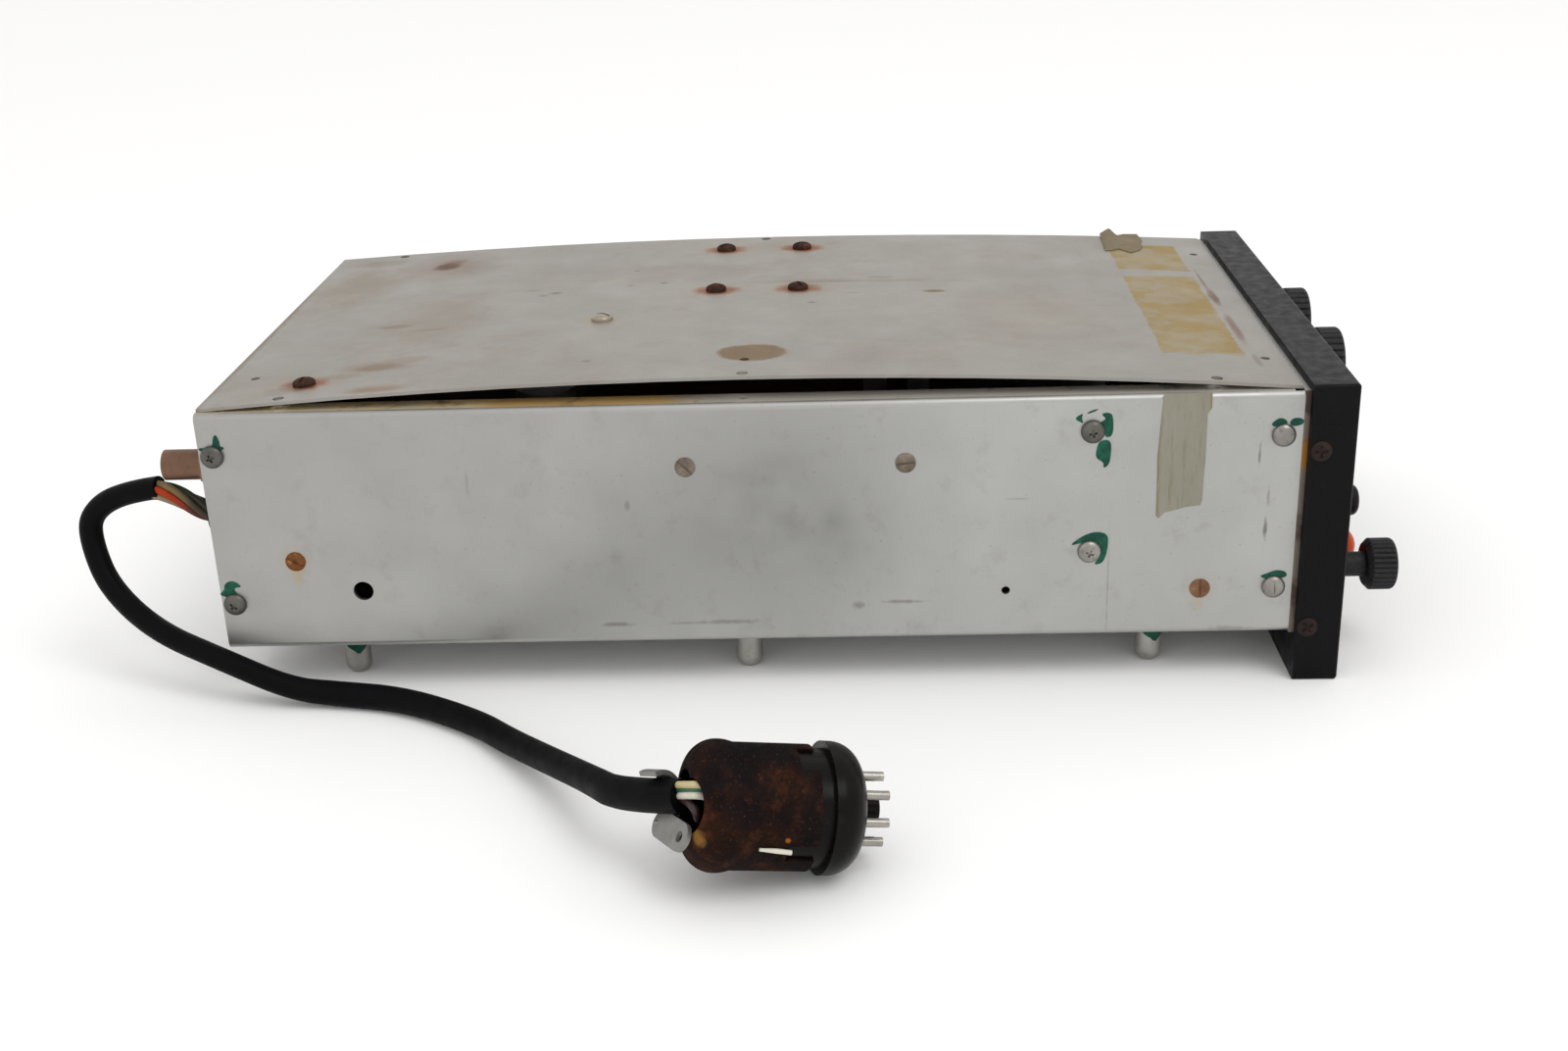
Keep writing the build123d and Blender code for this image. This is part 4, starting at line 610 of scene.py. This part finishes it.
for name, radius, colour, route in PLUG_WIRES:
    points = line_points(nurbs([mm(*spot) for spot in route], "plug_wire_line"))
    finish = plain("plug_wire_" + name, colour, 0.45, spread=0.8, grain=900, relief=0.02).done()
    wire = tube(points, [radius / 1000] * len(points))
    piece("plug_wire_" + name, wire, [finish])
stub = line_points(nurbs([mm(*spot) for spot in STUB], "stub_line"))
taper = [(STUB_TIP + STUB_GROWTH * min(1, 2 * number / len(stub))) / 1000 for number in range(len(stub))]
white_wire = bpy.data.materials["plug_wire_white"]
piece("plug_wire_stub", tube(stub, taper), [white_wire])

# Slotted and cross-recessed screw heads in place of the plain ones
SHANK_RADIUS = 1.6
PAN_RADIUS, PAN_HEIGHT, PAN_SHANK, PAN_TIP = 3.4, 2.2, 5.0, 0.02
PAN_RIM_SHARE, PAN_STEPS = 0.28, 6
FLUSH_RADIUS, FLUSH_HEIGHT, FLUSH_SHANK, FLUSH_TIP = 3.0, 0.5, 4.0, 0.05
FLUSH_CROWN_SHARES = [(1, 0.5), (0.93, 0.8), (0.6, 0.96)]
SEAT_DEPTH, SLOT_HALF, CUT_OVERRUN = 0.02, 9, 2


def pan_head():
    outline = [(SHANK_RADIUS, -PAN_SHANK), (SHANK_RADIUS, 0), (PAN_RADIUS, 0)]
    outline.append((PAN_RADIUS, PAN_HEIGHT * PAN_RIM_SHARE))
    for step in range(1, PAN_STEPS + 1):
        angle = math.pi / 2 * step / PAN_STEPS
        rise = PAN_RIM_SHARE + (1 - PAN_RIM_SHARE) * math.sin(angle)
        outline.append((PAN_RADIUS * math.cos(angle) + PAN_TIP, PAN_HEIGHT * rise))
    return lathe(outline)


def flush_head():
    seat = [(SHANK_RADIUS, -FLUSH_SHANK), (SHANK_RADIUS, -SEAT_DEPTH), (FLUSH_RADIUS, -SEAT_DEPTH)]
    crown = [(FLUSH_RADIUS * out, FLUSH_HEIGHT * rise) for out, rise in FLUSH_CROWN_SHARES]
    return lathe(seat + crown + [(FLUSH_TIP, FLUSH_HEIGHT)])


def slotted(mesh, top, width, depth):
    low, high = (-SLOT_HALF, -width / 2, top - depth), (SLOT_HALF, width / 2, top + CUT_OVERRUN)
    return carve(mesh, [box_mesh(low, high)])


def crossed(mesh, top, length, width, depth):
    cutters = []
    for x, y in ((length / 2, width / 2), (width / 2, length / 2)):
        cutters.append(box_mesh((-x, -y, top - depth), (x, y, top + CUT_OVERRUN)))
    return carve(mesh, cutters)


def facing(side, spin):
    return Matrix.Rotation(math.radians(90 * side), 4, "Y") @ Matrix.Rotation(math.radians(spin), 4, "Z")


def on_side(side, along, up, spin):
    return Matrix.Translation(mm(side * HALF_BODY, WALL_FRONT + along, FLOOR_LOW + up)) @ facing(side, spin)


def on_both_sides(*spots):
    return [on_side(side, *spot) for side in (-1, 1) for spot in spots]


def on_cover(x, along, spin):
    tilt = Matrix.Rotation(cover_tilt(x, along), 4, "X")
    place = Matrix.Translation(mm(x, WALL_FRONT + along, cover_top(x, along)))
    return place @ tilt @ Matrix.Rotation(math.radians(spin), 4, "Z")


def screw_heads(name, groups, node):
    """Heads in place of a node; each group is a mesh, its places and its finish."""
    parts = [(mesh, place, number) for number, (mesh, places, _) in enumerate(groups) for place in places]
    heads = piece(name, join(parts, name), [finish for _, _, finish in groups], 32)
    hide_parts(node)


dark_steel = plain(
    "steel_dark", (0.13, 0.125, 0.11), 0.4, metal=0.8, spread=0.45, grain=500, relief=0.05,
    wear=((0.05, 0.04, 0.03), 0.75),
).done()
grey_steel = plain(
    "steel_grey", (0.33, 0.31, 0.285), 0.34, metal=0.85, spread=0.4, grain=500, relief=0.05,
    wear=((0.10, 0.06, 0.045), 0.75),
).done()
bright_steel = plain(
    "steel_bright", (0.36, 0.32, 0.255), 0.38, metal=0.6, spread=0.55, grain=500, relief=0.05,
    wear=((0.16, 0.12, 0.07), 0.5),
).done()
brown_rust = rusty(
    "rust_brown", (0.23, 0.195, 0.155), (0.33, 0.25, 0.16), (0.11, 0.085, 0.065), 0.4, 420
).done()
orange_rust = rusty(
    "rust_orange", (0.19, 0.07, 0.02), (0.40, 0.20, 0.075), (0.08, 0.03, 0.012), 0.5, 420
).done()
red_rust = rusty(
    "rust_red", (0.25, 0.135, 0.075), (0.36, 0.21, 0.12), (0.13, 0.06, 0.03), 0.5, 420
).done()

dark_places = on_both_sides((REAR_ALONG, HIGH_UP, 20), (REAR_ALONG, LOW_UP, 50), (*UPPER_SCREW, 10))
cross_head = crossed(pan_head(), PAN_HEIGHT, 2.4, 0.7, 0.8)
fine_slot_head = slotted(pan_head(), PAN_HEIGHT, 0.45, 0.5)
screw_heads("side_screw_heads", [
    (cross_head, dark_places, dark_steel), (cross_head, on_both_sides((*LOWER_SCREW, 70)), grey_steel),
    (fine_slot_head, on_both_sides((FRONT_ALONG, LOW_UP, 3)), grey_steel),
    (pan_head(), on_both_sides((FRONT_ALONG, HIGH_UP, 0)), grey_steel),
], "side_screws")

flush_slot_head = slotted(flush_head(), FLUSH_HEIGHT, 0.75, 0.4)
brown_places = on_both_sides(*[(along, STRIP_SCREWS_UP, spin) for along, spin in STRIP_SCREWS])
screw_heads("flush_screw_heads", [
    (flush_slot_head, brown_places, brown_rust),
    (flush_slot_head, [on_side(-1, *ORANGE_SCREW, 60)], orange_rust),
    (flush_slot_head, [on_side(-1, *RED_SCREW, 2)], red_rust),
], "side_flush_screws")

wide_slot_head = slotted(pan_head(), PAN_HEIGHT, 0.9, 0.8)
rusty_places = [on_cover(*screw, 25 + 37 * number) for number, screw in enumerate(RUSTY_SCREWS)]
screw_heads("cover_screw_heads", [
    (wide_slot_head, rusty_places, looks["cover_screws"].mat),
    (wide_slot_head, [on_cover(*BRIGHT_SCREW, 65)], bright_steel),
], "cover_screws")

bezel_places = []
for side in (-1, 1):
    for height in BEZEL_SCREW_HEIGHTS:
        place = Matrix.Translation(mm(side * HALF_BEZEL, BEZEL_SCREW_Y, height))
        bezel_places.append(place @ facing(side, 20 + height))
bezel_head = crossed(flush_head(), FLUSH_HEIGHT, 3.6, 0.8, 0.45)
screw_heads("bezel_screw_heads", [
    (bezel_head, bezel_places, looks["bezel_screws"].mat),
], "bezel_screws")


# Thin patches: locking paint, tape and a scrap of paper, just clear of what they lie on
FILM_GAP = 0.02


def patch_mesh(outline, place, thick):
    spots = line_points(nurbs([(across, up, 0) for across, up in outline], "outline", 5, True))
    return skin([[place(spot.x, spot.y, level) for spot in spots] for level in (FILM_GAP, thick)], "patch")


def creased(outline):
    return [spot for spot in outline for _ in range(2)]


def near_wall(along, up):
    def place(across, rise, level):
        return mm(-HALF_BODY - level, WALL_FRONT + along - across, FLOOR_LOW + up + rise)
    return place


def near_foot(along):
    def place(across, rise, level):
        reach, angle = FOOT_RADIUS + level, across / FOOT_RADIUS
        return mm(FOOT_X - reach * math.cos(angle), WALL_FRONT + along - reach * math.sin(angle), rise)
    return place


def foot_band(lows, high, half, place, thick):
    rings = []
    for number, low in enumerate(lows):
        across = half * (2 * number / (len(lows) - 1) - 1)
        corners = ((low, FILM_GAP), (high, FILM_GAP), (high, thick), (low, thick))
        rings.append([place(across, rise, level) for rise, level in corners])
    return skin(rings, "band")


def cover_spot(across, along, level):
    return mm(across, WALL_FRONT + along, cover_top(across, along) + level)


# Outlines of paint round the screws, as seen from outside, with the screw at 0, 0
PAINT_PATCHES = [
    (UPPER_SCREW, [
        [(1.9, 5.3), (5.2, 5.6), (5.8, 3.0), (5.7, -1.6), (3.4, -2.0), (3.1, 0.8), (1.6, 2.6), (4.0, 3.6)],
        [(2.0, -2.8), (5.3, -2.6), (5.4, -6.5), (5.0, -10.2), (3.2, -11.4), (3.5, -9.4), (1.0, -8.2),
         (1.2, -5.4)],
        [(-5.4, 4.0), (-2.7, 5.6), (-3.3, 4.2), (-2.6, 2.4), (-3.8, 3.0)],
        [(-2.2, 5.2), (-0.4, 6.3), (1.7, 6.8), (0.2, 5.8)],
    ]),
    (LOWER_SCREW, [
        [(-6.0, 1.6), (-2.4, 4.6), (1.6, 6.2), (5.2, 5.4), (5.5, 2.4), (5.0, -1.5), (3.8, -4.0), (1.4, -4.4),
         (2.6, -2.8), (3.4, 0.6), (1.6, 2.8), (-2.2, 2.8)],
    ]),
    ((FRONT_ALONG, HIGH_UP), [
        [(-4.2, 2.9), (-1.6, 5.2), (0.4, 4.6), (1.0, 3.2), (-1.5, 2.4)],
        [(1.2, 3.4), (2.6, 5.2), (5.6, 4.6), (5.2, 3.0), (2.6, 2.4)],
    ]),
    ((FRONT_ALONG, LOW_UP), [
        [(-4.4, 3.2), (-1.6, 4.2), (0.6, 5.2), (3.6, 4.6), (3.9, 2.9), (1.0, 2.4), (-2.0, 2.3)],
    ]),
    ((REAR_ALONG, HIGH_UP), [
        [(-4.2, 2.8), (-1.0, 2.6), (0.6, 3.4), (1.0, 6.0), (2.0, 6.9), (2.8, 4.6), (2.6, 3.0), (4.2, 2.8),
         (2.6, 1.4), (-2.6, 1.2)],
    ]),
    ((REAR_ALONG, LOW_UP), [
        [(-4.8, 3.2), (-2.6, 4.6), (-2.6, 6.6), (0.2, 7.8), (3.0, 5.4), (0.2, 5.4), (0.6, 3.6), (2.6, 2.2),
         (-1.6, 2.0)],
    ]),
]
PAINT_THICK = 0.16
FOOT_PAINT_LOWS = [11.0, 10.9, 10.6, 10.2, 9.4, 8.9, 8.4, 7.4, 7.2, 8.0, 8.6, 9.6, 10.4]
FOOT_PAINT_HIGH, FOOT_PAINT_HALF, PAINTED_FEET = 12.4, 5.2, (38.7, 282.7)
paint = Look("torque_paint", (0.002, 0.05, 0.03), 0.35)
paint.put("Specular IOR Level", 0.2)
paint.mottle((0.007, 0.105, 0.058), 0.8, (0.46, 0.66), 330, 4)
paint.mottle((0.0, 0.04, 0.02), 0.8, (0.6, 0.7), 900, 4, shift=(2, 5, 1))
paint.bump(paint.noise(500, 4), 0.4, 0.2)
paint_meshes = []
for screw, outlines in PAINT_PATCHES:
    paint_meshes += [patch_mesh(outline, near_wall(*screw), PAINT_THICK) for outline in outlines]
for along in PAINTED_FEET:
    paint_meshes.append(
        foot_band(FOOT_PAINT_LOWS, FOOT_PAINT_HIGH, FOOT_PAINT_HALF, near_foot(along), PAINT_THICK)
    )
paint_mesh = join([(mesh, HERE, 0) for mesh in paint_meshes], "torque_paint")
piece("torque_paint", paint_mesh, [paint.done()])

TAPE = [
    (19.6, 10.7), (26.4, 10.8), (33.2, 10.7), (33.3, 6.4), (32.2, 4.6), (32.2, -8), (31.9, -21.6),
    (31.4, -23.2), (27.4, -23.6), (24.1, -24.6), (21.4, -25.2), (19.6, -27.0), (18.9, -26.2), (18.8, -16),
    (18.6, -8.8), (19.2, 3),
]
TAPE_THICK, TAPE_MIDDLE = 0.18, (-HALF_BODY, WALL_FRONT + 33.4, 70.7)
tape = Look("crepe_tape", (0.215, 0.203, 0.153), 0.8)
tape.mottle((0.26, 0.252, 0.207), 0.8, (0.35, 0.7), 160, 5, 0.6, stretch=(1, 1, 0.35))
tape.mottle((0.16, 0.13, 0.075), 0.6, (0.52, 0.72), 900, 4, 0.6, stretch=(1, 1, 0.12))
tape_inside = tape.area(TAPE_MIDDLE, (0, 6.8, 19.8), 0.05, 0.08, 300, True)
tape.over(tape.calc("SUBTRACT", 1.0, tape_inside), (0.19, 0.14, 0.075))
tape.bump(tape.noise(700, 5, 0.6, stretch=(1, 1, 0.2)), 0.5, 0.25)
tape_mesh = patch_mesh(creased(TAPE), near_wall(*UPPER_SCREW), TAPE_THICK)
piece("wall_tape", tape_mesh, [tape.done()])

SCRAP = [
    (85.8, 36.2), (74, 36.6), (63.2, 37.0), (64.2, 34), (66.4, 31.8), (63.4, 29.8), (61.4, 28), (65, 24.6),
    (70.6, 22.7), (75, 22.9), (79.9, 21.6), (86.2, 22.6), (86.0, 27.6), (84.6, 30.2), (86.3, 32.2),
    (86.3, 34.2),
]
SCRAP_THICK = 0.35
CURL_FROM, CURL_LENGTH, CURL_RISE = 79, 7, 2.4
CURL_ALONG, CURL_FADE, CURL_LEAST = 33, 5, 0.3


def curled_spot(across, along, level):
    fade = max(CURL_LEAST, 1 - abs(along - CURL_ALONG) / CURL_FADE)
    curl = max(0.0, (across - CURL_FROM) / CURL_LENGTH) ** 2 * fade
    return cover_spot(across, along, level + CURL_RISE * curl)


scrap = plain(
    "scrap_paper", (0.19, 0.15, 0.085), 0.85, spread=0.7, grain=500, relief=0.2,
    wear=((0.13, 0.095, 0.05), 0.6),
)
scrap_mesh = patch_mesh(creased(SCRAP), curled_spot, SCRAP_THICK)
piece("cover_tape", scrap_mesh, [scrap.done()])

# Dial scale and the ticks round the knobs
INK_BACK, INK_FRONT, WORDS_OUT, WORDS_HALF = 0.01, 0.08, 0.05, 0.04
SCALE_LEFT, SCALE_LENGTH, SCALE_STEPS, SCALE_LONG_STEP = -64.5, 59, 20, 5
SCALE_UP, SCALE_LINE, SCALE_HALF = 66, 0.4, 0.22
LONG_STROKE, SHORT_STROKE = 4.2, 2.4
NUMBER_FIRST, NUMBER_STEP, NUMBER_UP, NUMBER_SIZE = 200, 50, 72, 5.2
KNOB_TICKS = [(-69, 27.5, 11, 9.4), (61, 66, 6, 13.2)]
TICK_HALF, TICK_LENGTH, TICK_SWEEP = 0.3, 2.2, 300
ink = plain("ink_black", (0.02, 0.02, 0.02), 0.6, spread=0.8, grain=400, relief=0.01).done()
ivory = plain("ink_white", (0.70, 0.68, 0.60), 0.6, spread=0.9, grain=400, relief=0.01).done()


def stroke(low_x, high_x, face, low_z, high_z):
    return box_mesh((low_x, face - INK_FRONT, low_z), (high_x, face - INK_BACK, high_z))


def number_mesh(words):
    curve = bpy.data.curves.new("words", "FONT")
    curve.body = words
    curve.size = NUMBER_SIZE / 1000
    curve.extrude = WORDS_HALF / 1000
    curve.align_x = "CENTER"
    return mesh_of(curve)


upright = Matrix.Rotation(math.radians(90), 4, "X")
scale_parts = []
for step in range(SCALE_STEPS + 1):
    x = SCALE_LEFT + SCALE_LENGTH * step / SCALE_STEPS
    numbered = step % SCALE_LONG_STEP == 0
    top = SCALE_UP + (LONG_STROKE if numbered else SHORT_STROKE)
    scale_parts.append((stroke(x - SCALE_HALF, x + SCALE_HALF, DIAL_FRONT, SCALE_UP, top), HERE, 0))
    if numbered:
        words = number_mesh(str(NUMBER_FIRST + NUMBER_STEP * step // SCALE_LONG_STEP))
        place = Matrix.Translation(mm(x, DIAL_FRONT - WORDS_OUT, NUMBER_UP))
        scale_parts.append((words, place @ upright, 0))
base_line = stroke(SCALE_LEFT, SCALE_LEFT + SCALE_LENGTH, DIAL_FRONT, SCALE_UP - SCALE_LINE, SCALE_UP)
scale_parts.append((base_line, HERE, 0))
piece("dial_scale", join(scale_parts, "dial_scale"), [ink])
tick_parts = []
for x, z, count, reach in KNOB_TICKS:
    tick = stroke(-TICK_HALF, TICK_HALF, PANEL_FRONT, reach, reach + TICK_LENGTH)
    for step in range(count):
        angle = math.radians(-TICK_SWEEP / 2 + TICK_SWEEP * step / (count - 1))
        tick_parts.append((tick, Matrix.Translation(mm(x, 0, z)) @ Matrix.Rotation(angle, 4, "Y"), 0))
piece("panel_ticks", join(tick_parts, "panel_ticks"), [ivory])

# Stage, light and camera, in metres and degrees
FLOOR_HALF = 6
floor_corners = [(x * FLOOR_HALF, y * FLOOR_HALF, 0) for x, y in ((-1, -1), (1, -1), (1, 1), (-1, 1))]
floor_mesh = mesh_from(floor_corners, [(0, 1, 2, 3)], "floor")
floor_mesh.materials.append(Look("floor_white", (0.93, 0.93, 0.93), 0.9).done())
floor = bpy.data.objects.new("floor", floor_mesh)
scene.collection.objects.link(floor)

world = bpy.data.worlds.new("soft_white")
scene.world = world
world.use_nodes = True
sky = world.node_tree.nodes["Background"]
sky.inputs["Color"].default_value = (1.0, 0.995, 0.985, 1)
sky.inputs["Strength"].default_value = 1.0


def lamp(name, place, target, size, power):
    data = bpy.data.lights.new(name, "AREA")
    data.shape = "DISK"
    data.size = size
    data.energy = power
    made = bpy.data.objects.new(name, data)
    made.location = place
    made.rotation_euler = (Vector(target) - Vector(place)).to_track_quat("-Z", "Y").to_euler()
    scene.collection.objects.link(made)


lamp("key", (-0.8, -0.7, 1.5), (0, 0, 0.05), 1.0, 8)
lamp("fill", (-1.2, 0.9, 0.9), (-0.05, 0, 0.05), 1.0, 0.7)

CAMERA_PLACE = (-0.592011, -0.024280, 0.258691)
CAMERA_TURN = (67.6463, 1.9168, -88.1743)
camera_data = bpy.data.cameras.new("camera")
camera_data.sensor_fit = "HORIZONTAL"
camera_data.sensor_width = 36
camera_data.lens = 42.8417
camera_data.clip_start = 0.01
camera = bpy.data.objects.new("camera", camera_data)
camera.location = CAMERA_PLACE
camera.rotation_euler = [math.radians(angle) for angle in CAMERA_TURN]
scene.collection.objects.link(camera)
scene.camera = camera
scene.view_settings.view_transform = "Standard"

bpy.context.view_layer.update()
